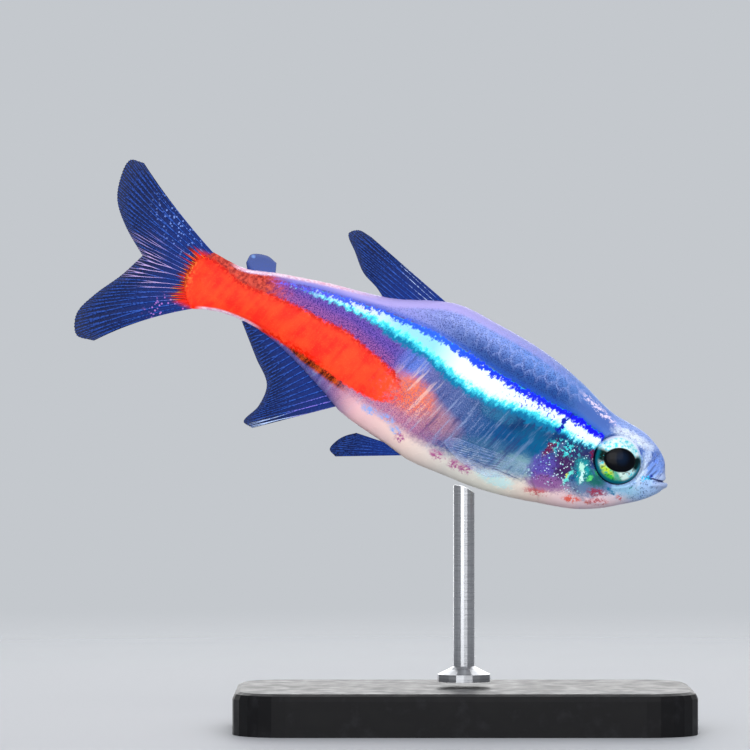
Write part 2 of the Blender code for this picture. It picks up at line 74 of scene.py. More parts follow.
GILL_SEAM = [(5.2, 3.6), (5.7, 2.45), (6.35, 1.5), (6.9, 0.3), (7.4, -0.8), (7.62, -1.7), (7.35, -2.6),
             (6.6, -3.4), (5.8, -4.6)]
COVER_RISE = 0.1
COVER_EDGE = 0.035
COVER_SLOPE = 1.3
COVER_TOP = 2.3
COVER_TOP_FADE = 0.8
COVER_FOOT = -3.9
COVER_FOOT_FADE = 0.7
SEAM_DEPTH = 0.04
SEAM_WIDTH = 0.25
COVER_FRONT = [(5.6, 1.1), (5.2, 0.4), (5.0, -0.6), (4.95, -1.5), (4.6, -2.2), (3.7, -2.6), (2.7, -2.3)]
CHEEK_RISE = 0.035
CHEEK_WIDTH = 0.1
MOUTH_CORNER = (0.8, -0.2)
MOUTH_FRONT_HEIGHT = 0.07
UPPER_LIP = (0.34, 0.17)
LOWER_LIP = (0.08, -0.17)
LIP_RADIUS = 0.16
LIP_RISE = 0.1
CLEFT_FRONT = 0.2
CLEFT_RADIUS = 0.055
CLEFT_DEPTH = 0.2
NOSTRILS = [(1.12, 0.92), (1.36, 1.2)]
NOSTRIL_RADIUS = 0.1
NOSTRIL_DEPTH = 0.11
NOSTRIL_RIM = 0.17
NOSTRIL_RIM_WIDTH = 0.06
EYE_CENTRE = (3.17, 1.2, 0.14)
EYE_RADIUS = 1.4
EYE_DEPTH = 0.75
EYE_TURN = math.radians(9)
EYE_LEAN = math.radians(6)
SOCKET_GAP = 0.05
SOCKET_WALL = 0.1
EYELID_RISE = 0.05
EYELID_OUT = 0.2
EYELID_WIDTH = 0.09
SKIN_MAP_WIDTH = 34
WELD = 0.0005 * MM


def smooth(points, at):
    """The smooth curve through (place, height) points, at one place or an array of them."""
    places, heights = np.array(points, float).T
    slopes = np.gradient(heights, places)
    slopes[1:-1] = (heights[2:] - heights[:-2]) / (places[2:] - places[:-2])
    at = np.clip(at, places[0], places[-1])
    k = np.clip(np.searchsorted(places, at) - 1, 0, len(places) - 2)
    span = places[k + 1] - places[k]
    t = (at - places[k]) / span
    start, end = slopes[k] * span, slopes[k + 1] * span
    return ((2 * t**3 - 3 * t**2 + 1) * heights[k] + (t**3 - 2 * t**2 + t) * start
            + (3 * t**2 - 2 * t**3) * heights[k + 1] + (t**3 - t**2) * end)


def lengths_to(path):
    """How far along a line of points each point lies."""
    return np.concatenate([[0], np.cumsum(np.linalg.norm(np.diff(path, axis=0), axis=1))])


def along(points, share):
    """The stations and heights at shares of the length of the smooth curve through points."""
    path = np.array(points, float)
    lengths = lengths_to(path)
    place = np.asarray(share) * lengths[-1]
    return (smooth(np.column_stack([lengths, path[:, 0]]), place),
            smooth(np.column_stack([lengths, path[:, 1]]), place))


def in_frame(station, out, height):
    """Points of the level fish, in millimetres, as points of the pitched model, in metres."""
    ahead = SNOUT_AHEAD - station * math.cos(PITCH) + height * math.sin(PITCH)
    up = SNOUT_ABOVE_FLOOR + station * math.sin(PITCH) + height * math.cos(PITCH)
    return np.column_stack(np.broadcast_arrays(ahead, out, up)) * MM


def body_point(station, angle):
    """The body's bare surface, the angle counted from the back round the left side."""
    back = smooth(BACK, station)
    belly = smooth(BELLY, station)
    half_width = smooth(HALF_WIDTH, station)
    widest = smooth(WIDEST_AT, station)
    up, out = np.cos(angle), np.sin(angle)
    reach = np.where(up > 0, back - widest, widest - belly)
    height_share = np.sign(up) * np.abs(up) ** (2 / ROUNDNESS)
    grown = np.clip((station - STALK_BULGE_FROM) / (STALK_END - STALK_BULGE_FROM), 0, 1)
    bulge = STALK_BULGE * grown**2 * (1 - height_share**2)
    y = half_width * np.sign(out) * np.abs(out) ** (2 / ROUNDNESS)
    return np.stack([station + bulge, y, widest + reach * height_share], axis=-1)


def body_normal(station, angle):
    """Which way the body's bare surface faces."""
    step = 0.01
    behind = body_point(np.minimum(station + step, STALK_END), angle) - body_point(
        np.maximum(station - step, 0), angle)
    round_it = body_point(station, angle + step) - body_point(station, angle - step)
    facing = np.cross(behind, round_it)
    return facing / np.maximum(np.linalg.norm(facing, axis=-1, keepdims=True), 1e-12)


def bump(distance, radius):
    return np.exp(-((distance / radius) ** 2))


def distance_to(points, line):
    """The distance from each point to the nearest point of a finely stepped line."""
    nearest = np.full(len(points), np.inf)
    for place in line:
        nearest = np.minimum(nearest, np.linalg.norm(points - place, axis=1))
    return nearest


def jaw_line(front, above):
    """A line round the jaw at a lip: from one corner of the mouth to the other."""
    turn = np.linspace(-math.pi / 2, math.pi / 2, 60)
    corner, low = MOUTH_CORNER
    station = front + (corner - front) * (1 - np.cos(turn))
    height = low + (MOUTH_FRONT_HEIGHT - low) * np.cos(turn) + above
    half_width = smooth(HALF_WIDTH, corner)
    return np.column_stack([station, half_width * 0.97 * np.sin(turn), height])


def eye_axes(side):
    """The eye's own axes, as rows in the level fish's frame: to the rear, outwards and up."""
    turn = Matrix.Rotation(-side * EYE_TURN, 3, "Z") @ Matrix.Rotation(side * EYE_LEAN, 3, "X")
    rows = [turn @ Vector(axis) for axis in ((-1, 0, 0), (0, side, 0), (0, 0, 1))]
    return np.array([(-row.x, row.y, row.z) for row in rows])


def eye_centre(side):
    return np.array([EYE_CENTRE[0], side * EYE_CENTRE[1], EYE_CENTRE[2]])


def behind_line(points, line):
    """How far each (station, height) lies behind a line that runs down the side."""
    height = points[:, 2]
    at_height = np.interp(-height, -line[:, 1], line[:, 0])
    return points[:, 0] - at_height


seam_line = np.column_stack(along(GILL_SEAM, np.linspace(0, 1, 60)))


def skin_place(station, angle):
    """The skin in relief: lips, mouth, nostrils, eye sockets, cheek and gill covers."""
    points = body_point(station, angle)
    facing = body_normal(station, angle)
    rise = np.zeros(len(points))
    head = points[:, 0] < HEAD_TO
    near = points[head]
    lift = np.zeros(len(near))
    for front, above in (UPPER_LIP, LOWER_LIP):
        lift += LIP_RISE * bump(distance_to(near, jaw_line(front, above)), LIP_RADIUS)
    lift -= CLEFT_DEPTH * bump(distance_to(near, jaw_line(CLEFT_FRONT, 0)), CLEFT_RADIUS)
    for at, up in NOSTRILS:
        away = np.hypot(near[:, 0] - at, near[:, 2] - up)
        lift -= NOSTRIL_DEPTH * bump(away, NOSTRIL_RADIUS)
        lift += NOSTRIL_DEPTH / 3 * bump(away - NOSTRIL_RIM, NOSTRIL_RIM_WIDTH)
    behind = behind_line(near, seam_line)
    on_side = (np.clip((COVER_TOP - near[:, 2]) / COVER_TOP_FADE, 0, 1)
               * np.clip((near[:, 2] - COVER_FOOT) / COVER_FOOT_FADE, 0, 1))
    step = 1 / (1 + np.exp(np.clip(behind / COVER_EDGE, -40, 40)))
    lift += COVER_RISE * on_side * step * np.exp(np.minimum(behind, 0) / COVER_SLOPE)
    lift -= SEAM_DEPTH * on_side * (1 - step) * np.exp(-np.maximum(behind, 0) / SEAM_WIDTH)
    cheek = np.column_stack(along(COVER_FRONT, np.linspace(0, 1, 80)))
    flat = near[:, [0, 2]]
    lift += CHEEK_RISE * bump(distance_to(flat, cheek), CHEEK_WIDTH)
    rise[head] = lift
    points = points + facing * rise[:, None]
    for side in (-1, 1):
        axes = eye_axes(side)
        local = (points - eye_centre(side)) @ axes.T
        reach = np.hypot(local[:, 0], local[:, 2])
        ball = EYE_DEPTH * np.sqrt(np.clip(1 - (reach / EYE_RADIUS) ** 2, 0, 1)) - SOCKET_GAP
        wall = np.clip((reach - EYE_RADIUS) / SOCKET_WALL, 0, 1)
        inside = (reach < EYE_RADIUS + SOCKET_WALL) & (local[:, 1] > -0.6)
        lowered = np.minimum(local[:, 1], ball)
        local[:, 1] = np.where(inside, lowered + (local[:, 1] - lowered) * wall, local[:, 1])
        lid = EYELID_RISE * bump(reach - EYE_RADIUS - EYELID_OUT, EYELID_WIDTH)
        local[:, 1] += np.where(local[:, 1] > -0.5, lid, 0)
        points = local @ axes + eye_centre(side)
    return points


def shaped_grid(columns, rows, place):
    """A sheet of columns by rows faces, its corners put where place says for their shares."""
    mesh = bmesh.new()
    bmesh.ops.create_grid(mesh, x_segments=columns, y_segments=rows, size=1)
    shares = (np.array([vert.co for vert in mesh.verts]) + 1) / 2
    for vert, point in zip(mesh.verts, place(shares[:, 0], shares[:, 1])):
        vert.co = point
    return mesh, shares


def add_map(mesh, name, places):
    """A UV map on a shaped sheet, from one place for each corner of the sheet."""
    layer = mesh.loops.layers.uv.new(name)
    for face in mesh.faces:
        for loop in face.loops:
            loop[layer].uv = places[loop.vert.index]


def placed(name, data):
    """A new object in the scene, at the model's origin."""
    made = bpy.data.objects.new(name, data)
    bpy.context.scene.collection.objects.link(made)
    return made


def finished(name, mesh, material):
    """An object from a shaped sheet, its seams closed, smooth, riding on the model's one body."""
    bmesh.ops.remove_doubles(mesh, verts=mesh.verts, dist=WELD)
    bmesh.ops.recalc_face_normals(mesh, faces=mesh.faces)
    data = bpy.data.meshes.new(name)
    mesh.to_mesh(data)
    mesh.free()
    data.shade_smooth()
    data.materials.append(material)
    made = placed(name, data)
    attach(made, "root")
    return made


class Signal:
    """A value on its way through a material's nodes, so that sums on it are written as sums."""

    def __init__(self, tree, socket):
        self.tree = tree
        self.socket = socket

    def run(self, operation, *others):
        node = self.tree.nodes.new("ShaderNodeMath")
        node.operation = operation
        for place, value in enumerate((self, *others)):
            plug(self.tree, value, node.inputs[place])
        return Signal(self.tree, node.outputs[0])

    def __add__(self, other):
        return self.run("ADD", other)

    def __sub__(self, other):
        return self.run("SUBTRACT", other)

    def __mul__(self, other):
        return self.run("MULTIPLY", other)

    def __neg__(self):
        return self.run("MULTIPLY", -1.0)

    __radd__ = __add__
    __rmul__ = __mul__

    def __rsub__(self, other):
        return (-self) + other

    def or_more(self, other):
        return self.run("MAXIMUM", other)

    def ramp(self, low, high, bottom=0.0, top=1.0):
        """0 below low, 1 above high and an easy slope between; it falls where low is the larger."""
        node = self.tree.nodes.new("ShaderNodeMapRange")
        node.interpolation_type = "SMOOTHSTEP"
        for place, value in enumerate((self, low, high, bottom, top)):
            plug(self.tree, value, node.inputs[place])
        return Signal(self.tree, node.outputs[0])

    def along_curve(self, points):
        """The smooth curve through (place, value) points at this value."""
        node = self.tree.nodes.new("ShaderNodeFloatCurve")
        places, values = np.array(points, float).T
        first, last = places[0], places[-1]
        low, high = values.min() - 0.01, values.max() + 0.01
        line = node.mapping.curves[0]
        steps = np.linspace(first, last, max(2, min(2 * len(points), 32)))
        for k, step in enumerate(steps):
            spot = ((step - first) / (last - first), (smooth(points, step) - low) / (high - low))
            if k < 2:
                line.points[k].location = spot
            else:
                line.points.new(*spot)
        for point in line.points:
            point.handle_type = "AUTO"
        node.mapping.update()
        plug(self.tree, (self - first) * (1 / (last - first)), node.inputs["Value"])
        return Signal(self.tree, node.outputs[0]) * (high - low) + low

    def colours_along(self, stops):
        """The blend of (place, (red, green, blue)) stops at this value."""
        node = self.tree.nodes.new("ShaderNodeValToRGB")
        first, last = stops[0][0], stops[-1][0]
        ramp = node.color_ramp
        for place, tint in stops[1:-1]:
            ramp.elements.new((place - first) / (last - first)).color = paint(*tint)
        ramp.elements[0].color = paint(*stops[0][1])
        ramp.elements[-1].color = paint(*stops[-1][1])
        plug(self.tree, (self - first) * (1 / (last - first)), node.inputs["Fac"])
        return Signal(self.tree, node.outputs["Color"])


def plug(tree, value, socket):
    """Links a signal to a socket, or sets the socket where the value is plain."""
    if isinstance(value, Signal):
        tree.links.new(value.socket, socket)
    else:
        socket.default_value = value


def paint(red, green, blue):
    """A colour as its three parts are read off a screen, from 0 to 255, for use in a shader."""
    parts = [part / 255 for part in (red, green, blue)]
    return (*[p / 12.92 if p <= 0.04045 else ((p + 0.055) / 1.055) ** 2.4 for p in parts], 1)


def new_finish(name, **constants):
    """A material with its node tree and its shader, whose plain values are given by name."""
    finish = bpy.data.materials.new(name)
    finish.use_nodes = True
    shader = finish.node_tree.nodes["Principled BSDF"]
    for label, value in constants.items():
        shader.inputs[label.replace("_", " ")].default_value = value
    return finish, finish.node_tree, shader


def add_node(tree, kind, inputs, output=0, **settings):
    """A node with its settings and inputs given by name or place; returns one output."""
    node = tree.nodes.new(kind)
    for key, value in settings.items():
        setattr(node, key, value)
    for key, value in inputs.items():
        plug(tree, value, node.inputs[key])
    return Signal(tree, node.outputs[output])


def mix(mask, under, over):
    """One colour laid over another where the mask is 1; plain ones are given as for paint."""
    under, over = (paint(*tint) if isinstance(tint, tuple) else tint for tint in (under, over))
    return add_node(mask.tree, "ShaderNodeMix", {0: mask, 6: under, 7: over}, 2, data_type="RGBA")


def coats(under, *layers):
    """Layers of (mask, colour) laid one after another over a colour."""
    for mask, over in layers:
        under = mix(mask, under, over)
    return under


def noise(place, scale, detail, rough):
    return add_node(place.tree, "ShaderNodeTexNoise",
                    {"Vector": place, "Scale": scale, "Detail": detail, "Roughness": rough})


def cells(place, scale):
    return add_node(place.tree, "ShaderNodeTexVoronoi", {"Vector": place, "Scale": scale})


def parts(place):
    """The three parts of a place, each a signal of its own."""
    split = place.tree.nodes.new("ShaderNodeSeparateXYZ")
    plug(place.tree, place, split.inputs[0])
    return [Signal(place.tree, output) for output in split.outputs]


def object_place(tree):
    return add_node(tree, "ShaderNodeTexCoord", {}, "Object")


def vertex_value(tree, name):
    return add_node(tree, "ShaderNodeAttribute", {}, "Fac", attribute_name=name)


def patch(spot, station, height, long, high, turn=0.0, soft=0.35):
    """A soft-edged oval mark on both sides of the fish, turned by degrees, its rear end down."""
    lean = math.radians(turn)
    rearward, upward = spot[0] - station, spot[1] - height
    along_it = rearward * (math.cos(lean) / long) - upward * (math.sin(lean) / long)
    over_it = rearward * (math.sin(lean) / high) + upward * (math.cos(lean) / high)
    return (along_it * along_it + over_it * over_it).ramp((1 + soft) ** 2, (1 - soft) ** 2)


STRIPE_TOP = [(4.2, 1.15), (5.5, 1.42), (6.4, 1.62), (7, 1.68), (8, 1.75), (9.4, 1.88), (11, 2.1),
              (12.6, 2.38), (14, 2.65), (15.8, 2.87), (18, 2.87), (19, 2.82), (20.5, 2.7), (22.4, 2.55),
              (24.3, 2.2), (25.4, 2.02)]
STRIPE_CORE = [(4.2, 0.62), (5, 0.3), (6, 0.34), (7, 0.7), (9.4, 0.72), (11, 0.62), (12.6, 0.78),
               (14, 1.2), (15.8, 1.75), (17, 2.0), (19, 2.16), (21, 2.2), (23, 2.16), (25.4, 2.0)]
STRIPE_FRINGE = [(4.2, 0.55), (5, 0.15), (6, 0.2), (7, 0.1), (8, 0.05), (10, 0.15), (12, 0.2), (13, 0.3),
                 (14, 0.55), (15, 0.95), (16, 1.2), (17.5, 1.42), (19, 1.86), (21, 2.02), (23, 2.06),
                 (25.4, 1.96)]
RED_TOP = [(16, -0.7), (16.6, -0.2), (17.5, 0.15), (18.3, 0.42), (19, 0.6), (20, 0.92), (21.5, 1.03),
           (23, 1.15), (24.5, 1.2), (26, 1.14), (27, 1.25), (28, 1.62), (29, 1.75), (30, 1.7)]
RED_LOW = [(16, -1.7), (17, -2.05), (18, -2.02), (19, -1.86), (20, -1.66), (21, -1.42), (22, -1.24),
           (23, -1.16), (24, -1.02), (25, -1.0), (26.5, -1.0), (28, -1.3), (30, -1.6)]

markings = bpy.data.node_groups.new("Neon tetra markings", "ShaderNodeTree")
for label, way, kind in (("Place", "INPUT", "Vector"), ("Scale Edge", "INPUT", "Float"),
                         ("Colour", "OUTPUT", "Color"), ("Painted Glow", "OUTPUT", "Color"),
                         ("Roughness", "OUTPUT", "Float"), ("Height", "OUTPUT", "Float")):
    markings.interface.new_socket(label, in_out=way, socket_type=f"NodeSocket{kind}")
entry = markings.nodes.new("NodeGroupInput")
place, scale_edge = (Signal(markings, entry.outputs[label]) for label in ("Place", "Scale Edge"))


def fish_frame(place):
    """Places in a shader as millimetres along, across and above the fish's line: whole, then in parts."""
    turned = add_node(place.tree, "ShaderNodeMapping", {
        "Vector": place,
        "Location": (SNOUT_AHEAD * MM, 0, SNOUT_ABOVE_FLOOR * MM),
        "Rotation": (0, PITCH, 0),
        "Scale": (-MM, MM, MM),
    }, vector_type="TEXTURE")
    return turned, *parts(turned)


fish, aft, _, up = fish_frame(place)

# Strands that lean back as they go down give the stripe its feathered edges and the flank its streaks.
def leaning(stretch):
    """Places turned to the strands' lean and stretched along them."""
    return add_node(markings, "ShaderNodeMapping", {
        "Vector": fish, "Rotation": (0, math.radians(-20), 0), "Scale": (1, 2 * stretch / 3, stretch),
    }, vector_type="TEXTURE")


strands = noise(leaning(2.6), 6.0, 4, 0.68)
streaks = noise(leaning(9), 3.0, 5, 0.65)
fine = noise(fish, 16.0, 3, 0.6)
mottle = noise(fish, 5.0, 4, 0.65)
broad = noise(fish, 1.1, 3, 0.5)
fray = (strands - 0.5) * 1.0 + (noise(fish, 3.0, 5, 0.74) - 0.5) * 1.1
glints_and_specks = cells(fish, 4.6).ramp(0.26, 0.12)
specks = cells(fish, 9.0).ramp(0.46, 0.3)
tiny = cells(fish, 15.0).ramp(0.5, 0.3)
drawn = (aft + (broad - 0.5) * 0.8 + (mottle - 0.5) * 0.8, up + (mottle - 0.5) * 0.5 + (fine - 0.5) * 0.5)


def marks(under, strength, *ovals):
    """Soft ovals laid over a colour: each is (red, green, blue), station, height, long, high, turn, soft."""
    for tint, station, height, long, high, turn, soft in ovals:
        under = mix(patch(drawn, station, height, long, high, turn, soft) * strength, under, tint)
    return under


# The back: blue to lavender, dark specks that thicken towards the stripe, a pink ridge, and lighter scale
# rims that are painted highlights.
stripe_top = aft.along_curve(STRIPE_TOP)
back_line = aft.along_curve(BACK[3:])
above = up - stripe_top
near_stripe = above.ramp(1.75, 0.45) * aft.ramp(17.5, 12, 0.25, 1) * aft.ramp(5, 8, 0.45, 1)
colour = aft.colours_along([(1, (112, 150, 230)), (4.5, (104, 142, 222)), (7, (106, 148, 224)),
                            (10, (112, 150, 228)), (14, (156, 174, 246)), (18, (170, 166, 242)),
                            (22, (160, 142, 244)), (26, (214, 182, 238))])
speckled = aft.ramp(5.5, 8) * aft.ramp(21, 14, 0.4, 1) * (near_stripe * 0.45 + 0.55)
ridge = (up - back_line + (fine - 0.5) * 0.2 + aft.ramp(20, 26) * 0.3).ramp(-0.62, -0.36) * aft.ramp(6, 10)
colour = coats(
    colour,
    (near_stripe * 0.9, (12, 66, 138)),
    # Painted highlights: the lighter rims at the rear edges of the scales.
    (scale_edge * above.ramp(0.3, 1.0) * (mottle * 0.7), (178, 192, 250)),
    (specks * speckled * mottle.ramp(0.36, 0.56) * 0.9, (26, 48, 124)),
    (tiny * speckled * mottle.ramp(0.64, 0.4) * 0.9, (22, 42, 112)),
    (ridge * aft.ramp(9, 16, 0.45, 0.9), (184, 172, 236)))

# The flank below the stripe: teal ahead, slate blue with leaning streaks, a cream and pink belly.
belly_line = aft.along_curve(BELLY)
flank = aft.colours_along([(7, (0, 84, 138)), (9.4, (0, 76, 132)), (10.6, (16, 82, 140)),
                           (12, (64, 94, 152)), (14, (84, 98, 160)), (16, (112, 104, 180))])
flank = marks(
    flank, 0.8,
    ((0, 40, 92), 8.6, 0.0, 2.6, 0.55, 0, 0.5),
    ((0, 94, 140), 8.0, -0.9, 0.9, 0.9, 20, 0.6),
    ((40, 116, 158), 10.4, 0.1, 0.9, 0.5, 0, 0.6),
    ((64, 112, 150), 9.6, -2.3, 2.3, 0.75, 8, 0.5),
    ((146, 186, 192), 8.4, -2.5, 1.0, 0.6, 10, 0.7),
    ((84, 124, 222), 16.1, 0.7, 1.0, 0.8, 24, 0.4),
    ((206, 140, 138), 14.7, -1.5, 1.7, 0.66, -14, 1.0),
    ((224, 142, 158), 16.8, -2.5, 2.6, 0.9, -10, 0.6))
pink_specks = patch(drawn, 16.4, -2.0, 3.6, 1.5, -12, 0.4) * 0.65
cream = (up - (mottle - 0.5) * 0.6 - belly_line).ramp(1.6, 0.8) * aft.ramp(19.6, 17.6)
belly_tint = aft.colours_along([(4, (255, 214, 222)), (7, (255, 234, 222)), (9, (255, 254, 240)),
                                (12, (240, 234, 226)), (15, (255, 226, 216)), (18, (250, 200, 206))])
flank = coats(
    flank,
    (streaks.ramp(0.52, 0.66) * (0.3 + aft.ramp(9, 11) * 0.35), (150, 170, 214)),
    (fine.ramp(0.5, 0.66) * aft.ramp(10, 12) * 0.4, (156, 156, 196)),
    (fine.ramp(0.5, 0.36) * aft.ramp(8, 9) * 0.4, (20, 48, 104)),
    (streaks.ramp(0.47, 0.34) * 0.6, (44, 50, 112)),
    (patch(drawn, 15.6, -0.95, 1.1, 0.66, -10, 1.0) * mottle.ramp(0.34, 0.56, 0.4, 1), (250, 122, 74)),
    (streaks.ramp(0.5, 0.62) * patch(drawn, 15.4, -0.9, 1.6, 1.2, 0, 0.6) * 0.6, (248, 206, 190)),
    (tiny * pink_specks, (130, 62, 128)),
    (specks * pink_specks * mottle.ramp(0.4, 0.6), (150, 84, 150)),
    (cream, belly_tint))
blots = marks(
    flank, 1.0,
    ((182, 78, 150), 15.1, -3.4, 0.2, 0.2, 0, 0.8),
    ((182, 78, 150), 12.7, -3.5, 0.3, 0.2, 0, 0.8),
    ((182, 78, 150), 11.6, -3.6, 0.3, 0.2, 0, 0.8),
    ((182, 78, 150), 10.9, -3.6, 0.35, 0.2, 0, 0.8),
    ((140, 176, 246), 17.2, -2.65, 0.35, 0.16, 0, 0.7),
    ((140, 176, 246), 16.2, -2.7, 0.4, 0.16, 0, 0.7),
    ((140, 176, 246), 15.5, -3.1, 0.3, 0.16, 0, 0.7))
thin_line = (up + 3.0 + (mottle - 0.5) * 0.12).run("ABSOLUTE").ramp(0.05, 0.01)
flank = coats(
    flank,
    (mottle.ramp(0.35, 0.6), blots),
    (patch(drawn, 9.1, -3.5, 0.95, 0.34, 0, 0.4) * mottle.ramp(0.32, 0.48), (222, 255, 255)),
    (thin_line * aft.ramp(7.6, 8.2) * aft.ramp(11.8, 10.4) * 0.75, (40, 56, 96)))
below = (above + fray * 0.25).ramp(0.06, -0.1)
colour = mix(below * aft.ramp(4.0, 4.6), colour, flank)

# Violet between the stripe and the red, mottled brown over the stalk, then the red with its spotted edges.
red_top = aft.along_curve(RED_TOP)
red_low = aft.along_curve(RED_LOW)
over_red = up - red_top
violet = mix(fine.ramp(0.38, 0.6), (66, 36, 118), (160, 92, 166))
bluer = mix(fine.ramp(0.38, 0.6), (46, 42, 128), (98, 80, 184))
violet = mix(over_red.ramp(0.2, 0.9) * 0.8, violet, bluer)
colour = mix(aft.ramp(15.8, 17.4) * (over_red + fray * 0.5).ramp(-0.4, 0.0) * below, colour, violet)
brown = mix(mottle.ramp(0.3, 0.7), (140, 34, 36), (226, 88, 70))
under_back = up - back_line + (fine - 0.5) * 0.3
on_stalk = (under_back - aft.ramp(26.6, 28) * 0.5).ramp(-0.12, -0.26)
colour = mix((aft + (mottle - 0.5) * 2).ramp(23.4, 25.4) * on_stalk, colour, brown)
ragged = (mottle - 0.5) * 0.7 + (fine - 0.5) * 0.35
frontal = aft + (streaks - 0.5) * 3.4 + (mottle - 0.5) * 1.6 + (up + 1.1).run("ABSOLUTE") * 0.35
grain = (fine - 0.5) * 1.3 + (mottle - 0.5) * 1.4
red_in = ((ragged - over_red).ramp(-0.12, 0.1) * (up - red_low + ragged * 0.6).ramp(-0.1, 0.08)
          * (frontal + grain * 1.6).ramp(15.0, 17.4))
red = mix((broad * 0.6 + streaks * 0.4).ramp(0.34, 0.66), (255, 42, 32), (255, 74, 38))
red = coats(
    red,
    (fine.ramp(0.56, 0.66) * 0.35, (255, 104, 52)),
    (over_red.ramp(-0.5, -0.02) * (mottle + grain * 0.1).ramp(0.42, 0.54) * 0.9, (188, 24, 18)),
    ((up - red_low).ramp(0.5, 0.12) * mottle.ramp(0.46, 0.54) * aft.ramp(19, 22), (232, 32, 0)))
strip = (up - red_low + (fine - 0.5) * 0.5).run("ABSOLUTE").ramp(0.5, 0.3)
strip *= aft.ramp(18.4, 19.6) * aft.ramp(25.4, 24.4) * (up - belly_line).ramp(0.12, 0.35)
colour = coats(
    colour,
    (strip, mix((streaks * 0.6 + fine * 0.4).ramp(0.4, 0.6), (46, 10, 8), (216, 84, 30))),
    (red_in, red))
rear_frill = (aft + (mottle - 0.5) * 1.1).ramp(29.2, 29.6)
colour = mix(rear_frill * 0.8, colour, mix(mottle.ramp(0.4, 0.6), (120, 16, 10), (240, 120, 60)))
rim = mix(mottle.ramp(0.35, 0.65), (236, 178, 206), (255, 232, 250))
colour = coats(
    colour,
    ((up - belly_line).ramp(0.2, 0.07) * aft.ramp(24.4, 25.4) * aft.ramp(28.6, 28.0), rim),
    (under_back.ramp(-0.26, -0.1) * aft.ramp(18, 22) * aft.ramp(27.8, 26.8), rim))

# The head: blue lavender snout and lips, a see-through cheek, and gill covers of many bright flecks, which
# are painted glints.
head = marks(
    colour, 0.9,
    ((150, 178, 246), 2.6, 1.95, 1.4, 0.35, -8, 0.6),
    # A painted highlight: the white arc just above the eye.
    ((234, 244, 255), 2.85, 1.62, 1.1, 0.3, -4, 0.5),
    ((178, 212, 255), 1.4, -0.9, 1.5, 1.1, 30, 0.5),
    ((122, 160, 242), 0.95, 0.75, 0.5, 0.7, -30, 0.5),
    ((206, 226, 255), 1.66, 0.1, 0.17, 1.2, 4, 0.6),
    ((150, 200, 230), 2.4, -1.65, 1.1, 0.45, 32, 0.6),
    ((255, 224, 230), 3.8, -2.7, 2.0, 0.52, 22, 0.6),
    ((178, 196, 236), 0.35, 0.1, 0.4, 0.5, 0, 0.5))
head = marks(
    head, 0.95,
    ((30, 58, 106), 5.0, 0.0, 0.95, 0.5, 0, 0.4),
    ((46, 44, 98), 5.0, -0.6, 0.7, 0.5, 0, 0.5),
    ((96, 128, 168), 4.1, -1.9, 1.0, 0.5, 25, 0.6),
    ((70, 34, 88), 5.95, -1.3, 0.62, 0.75, 20, 0.5),
    ((96, 78, 176), 6.9, -2.0, 0.62, 0.8, 0, 0.6),
    ((150, 96, 160), 6.3, -2.6, 0.9, 0.4, 15, 0.7),
    ((112, 22, 72), 6.95, -0.7, 0.14, 0.5, -18, 0.6),
    ((20, 168, 172), 4.75, -1.2, 0.38, 0.62, 14, 0.5),
    ((24, 104, 96), 4.0, -1.35, 0.5, 0.35, 0, 0.6),
    ((120, 22, 66), 4.62, -0.1, 0.07, 0.3, 10, 0.5))
on_cover = aft.ramp(4.2, 4.6) * (aft - up * -0.22).ramp(7.3, 6.9) * up.ramp(0.4, 0.1) * up.ramp(-2.9, -2.4)
head = coats(
    head,
    (mottle.ramp(0.5, 0.56) * patch(drawn, 6.2, -0.35, 0.75, 0.4, 0, 0.5), (70, 214, 220)),
    # Painted glints: the cyan-white flecks here and the white flecks in the last coat on the gill cover.
    (glints_and_specks * mottle.ramp(0.5, 0.56) * on_cover, (170, 250, 250)),
    (specks * on_cover * mottle.ramp(0.56, 0.46) * 0.7, (40, 24, 78)),
    (cells(fish, 7.0).ramp(0.34, 0.18) * on_cover * streaks.ramp(0.52, 0.56), (214, 246, 255)))
head = marks(
    head, 1.0,
    ((214, 255, 250), 4.72, -1.45, 0.07, 0.42, 18, 0.5),
    ((190, 250, 230), 4.9, -1.0, 0.12, 0.2, 0, 0.6),
    ((110, 236, 226), 5.4, -1.8, 0.1, 0.4, 0, 0.6),
    ((212, 226, 110), 5.5, -1.75, 0.06, 0.12, 0, 0.6),
    ((96, 226, 120), 4.3, -1.4, 0.09, 0.15, 0, 0.7),
    ((60, 190, 110), 4.1, -0.95, 0.1, 0.08, 20, 0.7),
    ((18, 124, 166), 3.05, -1.55, 0.11, 0.08, 0, 0.6),
    ((18, 124, 166), 2.8, -1.66, 0.11, 0.07, 0, 0.6),
    ((10, 150, 140), 1.9, -0.98, 0.09, 0.09, 0, 0.6),
    ((40, 206, 255), 1.28, -0.14, 0.07, 0.3, -40, 0.5),
    ((20, 60, 200), 1.1, 0.06, 0.1, 0.08, 0, 0.6))
blushes = marks(
    head, 0.9,
    ((168, 48, 72), 3.55, -1.96, 0.42, 0.2, 18, 0.5),
    ((198, 74, 84), 3.3, -2.45, 0.5, 0.13, 20, 0.6),
    ((246, 84, 52), 4.75, -2.86, 0.42, 0.17, 14, 0.5),
    ((214, 96, 104), 6.7, -3.25, 0.6, 0.16, 14, 0.6),
    ((222, 92, 84), 2.3, -1.75, 0.12, 0.1, 0, 0.6),
    ((222, 110, 100), 3.9, -2.7, 0.12, 0.08, 0, 0.6))
wavy = (aft, up + (mottle - 0.5) * 0.2)
cleft = patch(wavy, 0.62, -0.02, 0.5, 0.045, 8, 0.6)
cleft = cleft.or_more(patch(wavy, 0.98, 0.2, 0.05, 0.3, -24, 0.6) * 0.6)
on_crown = aft.ramp(4.6, 3.6) * up.ramp(0.2, 0.9)
on_jaw = aft.ramp(5.0, 4.4) * up.ramp(-0.2, -0.5) * up.ramp(-2.2, -1.8)
